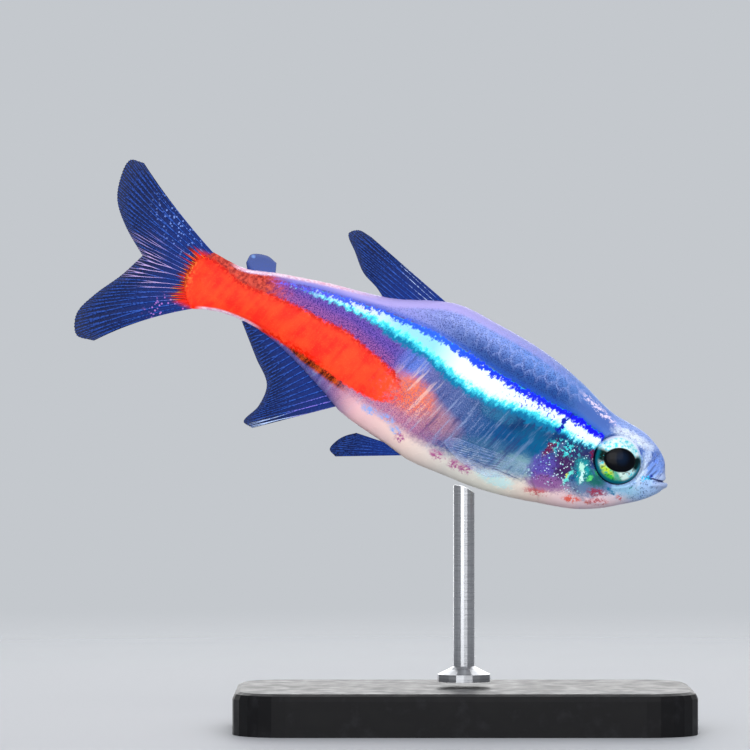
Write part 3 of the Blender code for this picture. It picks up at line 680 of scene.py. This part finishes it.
head = coats(
    head,
    (mottle.ramp(0.4, 0.52), blushes),
    (streaks.ramp(0.5, 0.42) * patch(drawn, 0.95, 0.7, 0.6, 0.85, -30, 0.3) * 0.6, (40, 52, 118)),
    (specks * mottle.ramp(0.45, 0.55) * patch(drawn, 1.2, -0.75, 0.9, 0.8, 30, 0.3) * 0.7, (46, 66, 130)),
    (glints_and_specks * patch(drawn, 1.2, -1.32, 0.5, 0.14, 38, 0.4), (10, 96, 190)),
    (cleft, (38, 44, 100)),
    (fine.ramp(0.52, 0.66) * on_crown * 0.6, (206, 222, 255)),
    (tiny * mottle.ramp(0.4, 0.56) * on_crown * 0.75, (54, 76, 160)),
    (tiny * on_jaw * mottle.ramp(0.5, 0.6) * 0.6, (70, 96, 160)),
    # Painted shade: the slate blue patch behind and above the eye.
    (patch(drawn, 5.3, 1.95, 1.15, 0.33, -12, 0.4) * 0.55, (72, 100, 176)),
    # A painted highlight: the pale pink streak along the nape.
    (patch(drawn, 5.2, 2.42, 1.1, 0.14, -20, 0.7) * mottle.ramp(0.42, 0.56), (240, 226, 255)))
colour = mix(aft.ramp(8.2, 7.6), colour, head)

# The stripe: a deep blue line above a white core that frays into cyan and teal below.
core_low = aft.along_curve(STRIPE_CORE)
fringe_low = aft.along_curve(STRIPE_FRINGE)
on_stripe = aft.ramp(25.6, 24.2) * (aft + (mottle - 0.5) * 0.3).ramp(4.3, 4.45)
gap = patch(drawn, 6.75, 0.8, 0.11, 1.1, -16, 0.4)
holes = 1 - aft.ramp(20.5, 24.6) * noise(fish, 5.0, 3, 0.6).ramp(0.6, 0.44)
fringe = (up - fringe_low + fray * 0.8).ramp(-0.14, 0.22) * (-above).ramp(0.0, 0.15)
line_depth = aft.ramp(15, 19.5, 0.3, 0.16)
core = (up - core_low + fray).ramp(-0.06, 0.1) * (fray * 0.9 - above - line_depth).ramp(-0.06, 0.06)
line = (fray * 0.5 - above).ramp(-0.04, 0.1) * (above + line_depth + 0.1 - fray).ramp(-0.1, 0.08)
teal = mix((up - core_low + fray * 0.7).ramp(-0.34, -0.02), (0, 116, 164), (64, 222, 244))
stripe = mix(fringe, flank, teal)
white = aft.colours_along([(5, (222, 240, 253)), (13.5, (222, 240, 253)), (15.2, (140, 208, 253)),
                           (17.5, (146, 208, 253)), (19, (200, 216, 253)), (24, (190, 206, 255))])
white = mix((up - core_low + fray * 0.8).ramp(0.3, 0.0) * 0.8, white, (110, 232, 250))
ring_cell = cells(fish, 2.0)
rings = ring_cell.ramp(0.34, 0.4) * ring_cell.ramp(0.52, 0.44) * aft.ramp(6.6, 7.2) * aft.ramp(11, 9.6)
rings = rings.or_more(mottle.ramp(0.38, 0.3) * aft.ramp(12, 10)) * mottle.ramp(0.5, 0.42)
white = mix(rings, white, (24, 40, 210))
stripe = mix(core * (1 - gap), stripe, white)
blue = aft.colours_along([(4.5, (20, 8, 245)), (8, (14, 26, 248)), (12, (16, 56, 240)), (15, (40, 96, 236)),
                          (19, (44, 84, 238)), (23, (84, 96, 236))])
blue_halo = above.ramp(0.35, 0.0) * aft.ramp(4.3, 5)
colour = mix(blue_halo * (1 - below) * 0.6 * aft.ramp(25.6, 24.2), colour, (28, 84, 196))
stripe = coats(
    stripe,
    (line, blue),
    (gap * up.ramp(0.1, 0.4), (12, 26, 160)))
in_stripe = fringe.or_more(core).or_more(line) * on_stripe * holes
colour = mix(in_stripe, colour, stripe)
bright = core * on_stripe * holes
# Painted glow: the stripe's white core and blue line, and the red, give off a faint light through emission,
# though the fish gives none.
painted_glow = mix(bright.or_more(line * on_stripe * 0.7), (0, 0, 0), colour)
painted_glow = mix(red_in * 0.5, painted_glow, colour)

leaving = markings.nodes.new("NodeGroupOutput")
for label, value in (("Colour", colour), ("Painted Glow", painted_glow),
                     ("Roughness", (bright * -0.14 + 0.42) + (fine - 0.5) * 0.2),
                     ("Height", fine * 0.5 + strands * 0.5)):
    plug(markings, value, leaving.inputs[label])

SKIN_BUMP = 0.012 * MM
skin_finish, tree, shader = new_finish("fish_skin", Emission_Strength=0.16, Specular_IOR_Level=0.06)
marked = tree.nodes.new("ShaderNodeGroup")
marked.node_tree = markings
plug(tree, object_place(tree), marked.inputs["Place"])
plug(tree, vertex_value(tree, "scale_edge"), marked.inputs["Scale Edge"])
for label, target in (("Colour", "Base Color"), ("Painted Glow", "Emission Color"), ("Roughness", "Roughness")):
    tree.links.new(marked.outputs[label], shader.inputs[target])
relief = add_node(tree, "ShaderNodeBump", {
    "Height": Signal(tree, marked.outputs["Height"]), "Distance": SKIN_BUMP, "Strength": 0.6})
plug(tree, relief, shader.inputs["Normal"])


def ring_station(along_share):
    """The station of a ring of the skin's grid; the rings crowd towards the snout."""
    share = np.clip((along_share - SNOUT_CAP) / (1 - SNOUT_CAP), 0, 1)
    return STALK_END * (RING_CROWDING * share**2 + (1 - RING_CROWDING) * share)


def skin_grid(along_share, round_share):
    """Where a corner of the skin's grid lies, both ends of the grid drawn together."""
    cap = np.clip(along_share / SNOUT_CAP, 0, 1)
    points = skin_place(ring_station(along_share), 2 * math.pi * round_share)
    points[:, 1] *= cap
    points[:, 2] = SNOUT_TIP + (points[:, 2] - SNOUT_TIP) * cap
    points[:, 1] *= np.clip((1 - along_share) / STALK_CAP, 0, 1) ** 0.5
    return in_frame(*points.T)


def skin_map(station, angle):
    """A place on the skin's bake map: the body unrolled from the ridge of its back, to scale."""
    steps = np.linspace(0, 1, 25)
    around = body_point(station[:, None] + 0 * steps, angle[:, None] * steps)
    length = np.linalg.norm(np.diff(around, axis=1), axis=2).sum(axis=1)
    return np.column_stack([station, length]) / SKIN_MAP_WIDTH + 0.04


mesh, shares = shaped_grid(SKIN_RINGS, SKIN_SIDES, skin_grid)
add_map(mesh, "OFBake", skin_map(ring_station(shares[:, 0]), 2 * math.pi * shares[:, 1]))
skin = finished("skin", mesh, skin_finish)
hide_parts("head", "gill_cover_right", "gill_cover_left", "trunk", "tail_stalk")

# The scales behind the gill covers. In life each is a thin clear plate rooted in the skin, its rear
# edge lying over the next. They carry the skin's own markings, and each is a slightly lifted disc.
SCALE_STEP = 0.72
SCALE_ROW = 0.8
ROW_SHRINK = 0.5
DEEPEST = 9.24
SCALE_LENGTH = 1.6
SCALE_WIDTH = 1.75
SCALE_GRID = 5
SCALE_ROOT = -0.01
SCALE_EDGE = 0.014
SCALE_THICKNESS = 0.006
SCALE_FROM = 5.4
SCALE_TO = 28.3
BEHIND_SEAM = 0.3
RIDGE_CLEAR = 0.12
SCALE_PATCH = 0.003


def scale_disc():
    """A scale's corners on a round outline, as shares from -1 to 1 rearwards and across, and its faces."""
    steps = np.linspace(-1, 1, SCALE_GRID + 1)
    a, b = (grid.ravel() for grid in np.meshgrid(steps, steps, indexing="ij"))
    rear, side = a * np.sqrt(1 - b**2 / 2), b * np.sqrt(1 - a**2 / 2)
    n = SCALE_GRID + 1
    faces = [(i * n + j, (i + 1) * n + j, (i + 1) * n + j + 1, i * n + j + 1)
             for i in range(SCALE_GRID) for j in range(SCALE_GRID)]
    return rear, side, faces


rear, sideways, disc_faces = scale_disc()
sweep = np.linspace(-0.6, math.pi + 0.6, 241)
scale_points, scale_faces, scale_edges, scale_map = [], [], [], []
for column in range(int((SCALE_TO - SCALE_FROM) / SCALE_STEP * 2)):
    station = SCALE_FROM + column * SCALE_STEP / 2
    around = body_point(np.full(len(sweep), station), sweep)
    arc = lengths_to(around)
    arc -= np.interp(math.pi / 2, sweep, arc)
    depth = smooth(BACK, station) - smooth(BELLY, station)
    row_height = SCALE_ROW * (depth / DEEPEST) ** ROW_SHRINK
    top, bottom = np.interp([RIDGE_CLEAR, math.pi - RIDGE_CLEAR], sweep, arc)
    for row in range(-12, 13):
        middle = row * row_height
        if (row + column) % 2 or not top < middle < bottom:
            continue
        angle = np.interp(middle + sideways * SCALE_WIDTH / 2 * row_height, arc, sweep)
        height = body_point(np.array([station]), np.interp([middle], arc, sweep))[0, 2]
        if station < np.interp(-height, -seam_line[:, 1], seam_line[:, 0]) + BEHIND_SEAM:
            continue
        stations = np.minimum(station + rear * SCALE_LENGTH / 2 * SCALE_STEP, STALK_END)
        lift = SCALE_ROOT + (SCALE_EDGE - SCALE_ROOT) * (rear + 1) / 2
        for turned in (angle, -angle):
            first = sum(len(points) for points in scale_points)
            facing = body_normal(stations, turned)
            scale_points.append(in_frame(*(body_point(stations, turned) + facing * lift[:, None]).T))
            order = 1 if turned is angle else -1
            scale_faces.extend(tuple(first + corner for corner in face)[::order] for face in disc_faces)
            rim = np.clip((np.hypot(rear, sideways) - 0.6) / 0.4, 0, 1)
            scale_edges.append(rim * np.clip(rear + 0.4, 0, 1))
            root = skin_map(np.array([station]), np.mod([np.mean(turned)], 2 * math.pi))
            scale_map.append(root + np.column_stack([rear, sideways]) * SCALE_PATCH / 2)
data = bpy.data.meshes.new("scales")
data.from_pydata(np.concatenate(scale_points).tolist(), [], scale_faces)
data.attributes.new("scale_edge", "FLOAT", "POINT").data.foreach_set("value", np.concatenate(scale_edges))
corners = np.empty(len(data.loops), int)
data.loops.foreach_get("vertex_index", corners)
data.uv_layers.new(name="OFBake").data.foreach_set("uv", np.concatenate(scale_map)[corners].ravel())
data.shade_smooth()
scales = placed("scales", data)
thickness = scales.modifiers.new("thickness", "SOLIDIFY")
thickness.thickness = SCALE_THICKNESS * MM
thickness.offset = -1
data.materials.append(skin_finish)
solid = bpy.data.meshes.new_from_object(scales.evaluated_get(bpy.context.evaluated_depsgraph_get()))
scales.modifiers.clear()
scales.data = solid
solid.set_sharp_from_angle(angle=math.radians(50))
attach(scales, "root")

# The eyes. In life each is a clear ball with a mirror-bright iris and a black pupil that the lens fills
# and stands out of; on a museum model it is a painted and lacquered ball set into its socket.
PUPIL = (-0.02, 0.0, 0.92, 0.69)
LENS_RISE = 0.07
EYE_RINGS = 90
EYE_SIDES = 96


def eye_ball(side):
    """An eye's ball as a mesh, with its own map: rearwards and upwards from its centre, in mm over 4."""
    def place(along_share, round_share):
        tilt, turn = np.pi * along_share, 2 * np.pi * round_share
        rear, up = EYE_RADIUS * np.sin(tilt) * np.cos(turn), EYE_RADIUS * np.sin(tilt) * np.sin(turn)
        out = EYE_DEPTH * np.cos(tilt)
        in_pupil = np.hypot((rear - PUPIL[0]) / PUPIL[2], (up - PUPIL[1]) / PUPIL[3])
        lens = np.where(out > 0, LENS_RISE * np.clip(1 - in_pupil**4, 0, 1) ** 0.5, 0)
        ball = np.column_stack([rear, out + lens, up])
        return in_frame(*(ball @ eye_axes(side) + eye_centre(side)).T)

    mesh, shares = shaped_grid(EYE_RINGS, EYE_SIDES, place)
    reach = EYE_RADIUS * np.sin(np.pi * shares[:, 0])
    turn = 2 * np.pi * shares[:, 1]
    add_map(mesh, "EyeMap", 0.5 + np.column_stack([reach * np.cos(turn), reach * np.sin(turn)]) / 4)
    return mesh


eye_finish, tree, shader = new_finish("eye_lacquer", Roughness=0.3, Specular_IOR_Level=0.04,
                                      Coat_Weight=0.1, Coat_Roughness=0.03)
eye_uv = add_node(tree, "ShaderNodeUVMap", {}, uv_map="EyeMap")
eye_place = add_node(tree, "ShaderNodeMapping", {
    "Vector": eye_uv, "Location": (0.5, 0.5, 0), "Scale": (0.25, 0.25, 1)}, vector_type="TEXTURE")
rearward, upward, _ = parts(eye_place)
reach = (rearward * rearward + upward * upward).run("POWER", 0.5)


def eye_patch(rear, up, long, high, turn=0.0, soft=0.35):
    """A soft-edged oval on the eye, in millimetres from its centre."""
    local = add_node(tree, "ShaderNodeMapping", {
        "Vector": eye_place, "Location": (rear, up, 0), "Rotation": (0, 0, math.radians(turn)),
        "Scale": (long, high, 1)}, vector_type="TEXTURE")
    return add_node(tree, "ShaderNodeVectorMath", {0: local}, "Value",
                    operation="LENGTH").ramp(1 + soft, 1 - soft)


grain = noise(eye_place, 5.0, 4, 0.6)
iris = mix(grain.ramp(0.34, 0.6), (60, 216, 232), (236, 255, 255))
iris = coats(
    iris,
    (eye_patch(0.1, -1.05, 1.0, 0.42) * 0.8, (30, 170, 130)),
    (eye_patch(0.45, -0.92, 0.5, 0.3, 25) * grain.ramp(0.35, 0.5), (206, 240, 60)),
    (eye_patch(0.15, -1.1, 0.35, 0.14, 10) * 0.9, (40, 200, 60)),
    (eye_patch(-0.62, -0.78, 0.62, 0.2, 28) * 0.95, (226, 255, 246)),
    (eye_patch(0.98, -0.12, 0.5, 0.34, 8, 0.35) * grain.ramp(0.26, 0.36), (2, 26, 24)),
    (eye_patch(-1.02, 0.2, 0.3, 0.42, 0, 0.35) * grain.ramp(0.26, 0.36), (2, 30, 32)),
    (grain.ramp(0.52, 0.62) * upward.ramp(0.3, -0.1) * 0.7, (10, 90, 80)),
    (reach.ramp(1.08, 1.26) * upward.ramp(0.45, -0.1), (8, 112, 130)),
    (eye_patch(0.62, -0.3, 0.1, 0.3, 20) * 0.9, (196, 176, 40)),
    (reach.ramp(1.29, 1.36) * upward.ramp(0.4, 0.1), (8, 26, 52)),
    (reach.ramp(1.2, 1.3) * upward.ramp(0.5, 0.9), (236, 244, 255)))
pupil = eye_patch(PUPIL[0], PUPIL[1], PUPIL[2], PUPIL[3], -16, 0.035)
# A painted glow: the lighter blue patch in the upper part of the black pupil.
painted_glow = eye_patch(PUPIL[0] - 0.05, PUPIL[1] + 0.12, 0.34, 0.34, 0, 0.6) * 0.5
deep = mix(painted_glow, (3, 5, 12), (12, 34, 62))
plug(tree, mix(pupil, iris, deep), shader.inputs["Base Color"])
plug(tree, (1 - pupil) * 0.2, shader.inputs["Metallic"])
for side, word in ((-1, "right"), (1, "left")):
    eye = finished(f"dressed_eye_{word}", eye_ball(side), eye_finish)
    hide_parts(f"eye_{word}")

# The fins. In life each is a film of skin on fine branching rays, nearly clear with a blue sheen; on the
# model they are cast in resin, and the deep blue on most of them is painted blue light. Each root is sunk a
# little way into the body.
FILM = 0.02
RAY_HALF = 0.045
PAIRED_RAY_HALF = 0.03
RAY_WIDTH = 0.1
FORKS = ((0.38, 0.3, 0.24), (0.72, 0.2, 0.11))
NOTCH = 0.006
COLUMNS_A_RAY = 14
ROOT_SUNK = 0.25
DORSAL_BASE = (15.1, 18.7)
DORSAL_MARGIN = [(20.9, 6.4), (21.7, 6.48), (22.15, 6.05), (21.4, 5.25), (20.5, 4.35), (19.5, 3.9)]
ANAL_BASE = (18.8, 25.2)
ANAL_MARGIN = [(22.9, -6.22), (23.5, -6.05), (23.05, -4.9), (23.1, -3.6), (24.2, -2.5), (25.8, -0.85)]
ADIPOSE_BASE = (25.0, 26.5)
ADIPOSE_MARGIN = [(25.25, 2.95), (25.9, 3.12), (26.75, 2.85), (26.85, 2.3)]
TAIL_ROOT = [(28.35, 1.9), (29.15, 1.15), (29.45, 0.38)]
TAIL_ROOT_LOWER = [(28.35, -1.12), (29.1, -0.45), (29.45, 0.38)]
UPPER_MARGIN = [(34.4, 5.27), (35.2, 5.1), (35.3, 4.0), (34.95, 2.7), (33.9, 1.5), (32.42, 0.38)]
LOWER_MARGIN = [(33.1, -5.15), (34.15, -5.22), (34.6, -4.1), (34.1, -2.75), (33.1, -1.1), (32.42, 0.38)]
UPPER_BOW = -0.15
LOWER_BOW = -0.25
PECTORAL_BASE = [(7.7, -2.0), (7.75, -2.85)]
PECTORAL_MARGIN = [(12.2, -2.2), (12.75, -2.6), (12.1, -3.1), (10.9, -3.5), (9.7, -3.6)]
PECTORAL_OUT = 2.3
PECTORAL_FLARE = math.radians(9)
PELVIC_BASE = [(14.5, -4.35), (15.7, -4.05)]
PELVIC_MARGIN = [(17.95, -5.95), (18.4, -5.7), (18.25, -5.15), (17.9, -4.65), (17.35, -4.2)]
PELVIC_OUT = 0.62
PELVIC_FLARE = math.radians(17)


def on_ray(count, reach):
    """How much a place is on a ray: 1 on its crest. Rays split in two, and again nearer the margin."""
    offset = count - np.round(count)
    first, second = (apart * np.clip((reach - start) / over, 0, 1) for start, over, apart in FORKS)
    width = RAY_WIDTH * (1 - 0.45 * reach)
    crest = np.zeros(len(count))
    for one in (-1, 1):
        for two in (-1, 1):
            crest = np.maximum(crest, bump(offset - one * first - two * second, width))
    return crest


def fin(name, root, margin, rays, nodes, finish, bow=lambda across: 0.0, rows=80, ray_half=RAY_HALF,
        turned=None):
    """A fin of branching rays in a film; root and margin are lines, as points or as functions."""
    root, margin = (line if callable(line) else partial(along, line) for line in (root, margin))
    intervals = rays - 1

    def flat(across, reach):
        start, end = np.array(root(across)), np.array(margin(across))
        run, rise = end - start
        aside = bow(across) * 4 * reach * (1 - reach) / np.hypot(run, rise)
        notch = 1 - NOTCH * (1 - on_ray(across * intervals, reach)) * reach**6
        return start + (end - start) * reach * notch + np.array([-rise, run]) * aside

    def place(around, reach):
        across = 1 - np.abs(2 * around - 1)
        face = np.where(around < 0.5, -1, 1)
        rim = np.minimum(np.clip(np.minimum(across, 1 - across) * intervals * 5, 0, 1),
                         np.clip(np.minimum(reach, 1 - reach) * 30, 0, 1)) ** 0.5
        crests = ray_half * (1 - 0.75 * reach) * on_ray(across * intervals, reach)
        thick = FILM / 2 * (1.2 - 0.6 * reach) + crests
        station, height = flat(across, reach)
        points = np.column_stack([station, face * thick * rim, height])
        if turned:
            points = turned(points)
        return in_frame(*points.T)

    mesh, shares = shaped_grid(intervals * COLUMNS_A_RAY * 2, rows, place)
    across = 1 - np.abs(2 * shares[:, 0] - 1)
    crest_layer = mesh.verts.layers.float.new("ray")
    for vert, crest in zip(mesh.verts, on_ray(across * intervals, shares[:, 1])):
        vert[crest_layer] = crest if ray_half else 0.0
    add_map(mesh, "FinMap", np.column_stack([across, shares[:, 1]]))
    made = finished(name, mesh, finish)
    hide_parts(*nodes)
    return made


def along_back(table, base, lift):
    return lambda across: (base[0] + (base[1] - base[0]) * across,
                           smooth(table, base[0] + (base[1] - base[0]) * across) + lift)


def two_lobes(upper, lower):
    """A line from the top of the tail fin to its bottom, as its two halves."""
    def place(across):
        high = along(upper, np.clip(2 * across, 0, 1))
        low = along(lower, np.clip(2 - 2 * across, 0, 1))
        return tuple(np.where(across < 0.5, a, b) for a, b in zip(high, low))
    return place


def paired(root, side, out, flare):
    """Turns a paired fin outwards about its root line, then sets it out from the middle plane."""
    start, end = (np.array([-station, 0, height]) for station, height in (root[0], root[-1]))
    turn = np.array(Matrix.Rotation(-side * flare, 3, Vector(end - start)))
    forwards = np.array([-1, 1, 1])

    def moved(points):
        local = (points * forwards - start) @ turn.T + start
        return local * forwards + np.array([0, side * out, 0])
    return moved


fin_finish, tree, shader = new_finish("fin_film", Roughness=0.4, Specular_IOR_Level=0.08)
fish, aft, _, up = fish_frame(object_place(tree))
crest = vertex_value(tree, "ray")
across, reach, _ = parts(add_node(tree, "ShaderNodeUVMap", {}, uv_map="FinMap"))
fine = noise(fish, 9.0, 4, 0.65)
dots = cells(fish, 5.2).ramp(0.34, 0.2)
by_ray = noise(add_node(tree, "ShaderNodeCombineXYZ", {"X": across, "Z": reach * 0.02}), 70.0, 2, 0.5)
spot = (aft + (fine - 0.5) * 0.4, up + (fine - 0.5) * 0.4)
# Painted blue light: the deep blue of the film and of its rays.
film = mix(reach.ramp(0.1, 1.0), (2, 38, 116), (0, 14, 56))
ray = mix(reach.ramp(0.1, 1.0) * 0.7, (58, 104, 206), (24, 58, 140))
film = mix(fine.ramp(0.5, 0.7) * 0.5, film, (30, 70, 160))
tint = mix(crest.ramp(0.2, 0.9) * fine.ramp(0.3, 0.6), film, ray)
on_adipose = patch((aft, up), 25.9, 2.8, 1.1, 0.85, 0, 0.2)
tint = coats(
    tint,
    (dots * patch(spot, 31.2, 2.7, 1.9, 0.9, -38, 0.5) * 0.8, (120, 156, 240)),
    (dots * patch(spot, 29.9, -1.7, 1.2, 0.6, 40, 0.5) * 0.8, (196, 130, 226)),
    # Painted highlights: the pale streaks along the rays in the middle of the tail, on the dorsal and at the
    # anal fin's leading edge.
    (crest.ramp(0.4, 0.9) * patch(spot, 31.2, 0.2, 2.2, 1.3, 0, 0.6) * by_ray.ramp(0.4, 0.6),
     (206, 176, 226)),
    (crest.ramp(0.3, 0.9) * patch(spot, 17.4, 5.0, 1.6, 0.4, -38, 0.5) * fine.ramp(0.4, 0.6),
     (206, 226, 255)),
    (crest.ramp(0.2, 0.8) * patch(spot, 21.6, -5.3, 1.5, 0.3, 33, 0.5), (190, 214, 255)),
    (crest.ramp(0.2, 0.8) * patch(spot, 20.0, -3.7, 1.4, 0.5, 45, 0.6) * fine.ramp(0.4, 0.6),
     (140, 120, 226)),
    (on_adipose * 0.75, (30, 76, 170)),
    (patch((aft, up), 26.6, 2.78, 0.1, 0.08, 0, 0.6) * 0.7, (120, 170, 240)))
spikes = 30.0 + (by_ray - 0.5) * 2.8 - aft
on_stalk = aft.ramp(28.0, 28.2) * up.ramp(-1.5, -1.1) * up.ramp(2.1, 1.7)
burning = mix(spikes.ramp(0.1, 0.6), mix(crest.ramp(0.2, 0.8), (60, 6, 8), (255, 160, 60)), (226, 34, 18))
tint = mix(spikes.ramp(0.0, 0.12) * on_stalk, tint, burning)
plug(tree, tint, shader.inputs["Base Color"])
faint = reach.ramp(0.8, 1.0, 1, 0.86) * (1 - on_adipose * 0.3)
plug(tree, (crest.ramp(0.1, 0.8, 0.92, 0.98) * faint).or_more(spikes.ramp(0.0, 0.1) * on_stalk),
     shader.inputs["Alpha"])

CLEAR_FILM = 0.07
clear_finish, tree, shader = new_finish("clear_fin_film", Roughness=0.35)
sheen = noise(object_place(tree), 2500.0, 3, 0.6)
plug(tree, mix(sheen.ramp(0.4, 0.65), (96, 128, 204), (190, 206, 246)), shader.inputs["Base Color"])
plug(tree, vertex_value(tree, "ray").ramp(0.2, 0.9) * 0.32 + CLEAR_FILM, shader.inputs["Alpha"])

fin("dressed_dorsal_fin", along_back(BACK, DORSAL_BASE, -ROOT_SUNK), DORSAL_MARGIN, 11, ["dorsal_fin"],
    fin_finish)
fin("dressed_anal_fin", along_back(BELLY, ANAL_BASE, ROOT_SUNK), ANAL_MARGIN, 19, ["anal_fin"], fin_finish)
fin("dressed_adipose_fin", along_back(BACK, ADIPOSE_BASE, -ROOT_SUNK), ADIPOSE_MARGIN, 5, ["adipose_fin"],
    fin_finish, rows=40, ray_half=0.0)
fin("dressed_tail_fin", two_lobes(TAIL_ROOT, TAIL_ROOT_LOWER), two_lobes(UPPER_MARGIN, LOWER_MARGIN), 21,
    ["tail_fin_upper", "tail_fin_lower"], fin_finish, rows=100,
    bow=lambda across: np.where(across < 0.5, UPPER_BOW * (1 - 2 * across), -LOWER_BOW * (2 * across - 1)))
for side, word in ((-1, "right"), (1, "left")):
    fin(f"dressed_pectoral_fin_{word}", PECTORAL_BASE, PECTORAL_MARGIN, 11, [f"pectoral_fin_{word}"],
        clear_finish, rows=60, ray_half=PAIRED_RAY_HALF,
        turned=paired(PECTORAL_BASE[::-1], side, PECTORAL_OUT, PECTORAL_FLARE))
    fin(f"dressed_pelvic_fin_{word}", PELVIC_BASE, PELVIC_MARGIN, 8, [f"pelvic_fin_{word}"],
        fin_finish, rows=60, ray_half=PAIRED_RAY_HALF,
        turned=paired(PELVIC_BASE, side, PELVIC_OUT, PELVIC_FLARE))

# The stand, as a museum makes it: a flat base sawn from black acrylic sheet, its edges eased and rubbed
# to a satin, and a turned steel rod with a collar that screws into the base and holds up the belly.
base_finish, tree, shader = new_finish("black_acrylic", Specular_IOR_Level=0.12)
dust = noise(object_place(tree), 900.0, 4, 0.6)
plug(tree, mix(dust.ramp(0.5, 0.8), (18, 18, 20), (34, 34, 37)), shader.inputs["Base Color"])
plug(tree, dust.ramp(0.3, 0.7, 0.42, 0.56), shader.inputs["Roughness"])
rod_finish, tree, shader = new_finish("satin_steel", Metallic=1.0)
turning = add_node(tree, "ShaderNodeMapping", {"Vector": object_place(tree), "Scale": (200, 200, 9000)})
tool_marks = noise(turning, 1.0, 3, 0.6)
plug(tree, mix(tool_marks, (150, 152, 156), (206, 208, 212)), shader.inputs["Base Color"])
plug(tree, tool_marks.ramp(0.2, 0.8, 0.22, 0.4), shader.inputs["Roughness"])
for node, finish in (("stand_base", base_finish), ("stand_rod", rod_finish)):
    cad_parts[node].data.materials.clear()
    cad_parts[node].data.materials.append(finish)

# The studio: a pale floor that fades into a pale backdrop, soft boxes of light on both sides, and the
# camera square to the fish's right side, as in the photograph.
FLOOR_REACH = 0.16
CLEAR_FROM = 0.03
FISH_MIDDLE = Vector((-0.005, 0, 0.02))
floor_finish, tree, shader = new_finish("pale_floor", Base_Color=paint(184, 187, 192), Roughness=0.7,
                                        Specular_IOR_Level=0.2)
away = add_node(tree, "ShaderNodeVectorMath", {0: object_place(tree)}, "Value", operation="LENGTH")
plug(tree, away.ramp(FLOOR_REACH, CLEAR_FROM), shader.inputs["Alpha"])
mesh = bmesh.new()
bmesh.ops.create_circle(mesh, cap_ends=True, segments=96, radius=FLOOR_REACH)
data = bpy.data.meshes.new("floor")
mesh.to_mesh(data)
mesh.free()
data.materials.append(floor_finish)
floor = placed("floor", data)

BACKGROUND = (196, 200, 205)
SURROUND = (161.73, 163.75, 167.70)
world = bpy.data.worlds.new("studio")
bpy.context.scene.world = world
world.use_nodes = True
tree = world.node_tree
seen = add_node(tree, "ShaderNodeLightPath", {}, "Is Camera Ray")
tree.links.new(mix(seen, SURROUND, BACKGROUND).socket, tree.nodes["Background"].inputs["Color"])
bpy.context.scene.view_settings.view_transform = "Standard"


def softbox(name, place, size, power):
    """A square area light aimed at the fish."""
    light = bpy.data.lights.new(name, "AREA")
    light.size = size
    light.energy = power
    made = placed(name, light)
    made.location = place
    made.rotation_euler = (FISH_MIDDLE - Vector(place)).to_track_quat("-Z", "Y").to_euler()


softbox("key", (0.06, -0.34, 0.2), 0.34, 0.72)
softbox("low_front", (-0.05, -0.35, 0.05), 0.3, 0.78)
softbox("key_behind", (0.06, 0.34, 0.2), 0.34, 0.72)
softbox("low_behind", (-0.06, 0.34, 0.03), 0.3, 0.6)
softbox("overhead", (0, 0, 0.4), 0.3, 0.18)
camera = placed("camera", bpy.data.cameras.new("camera"))
camera.location = (-0.00504, -0.3, 0.02007)
camera.rotation_euler = (math.pi / 2, 0, 0)
camera.data.lens = 254
camera.data.sensor_width = 36
camera.data.clip_start = 0.01
bpy.context.scene.camera = camera
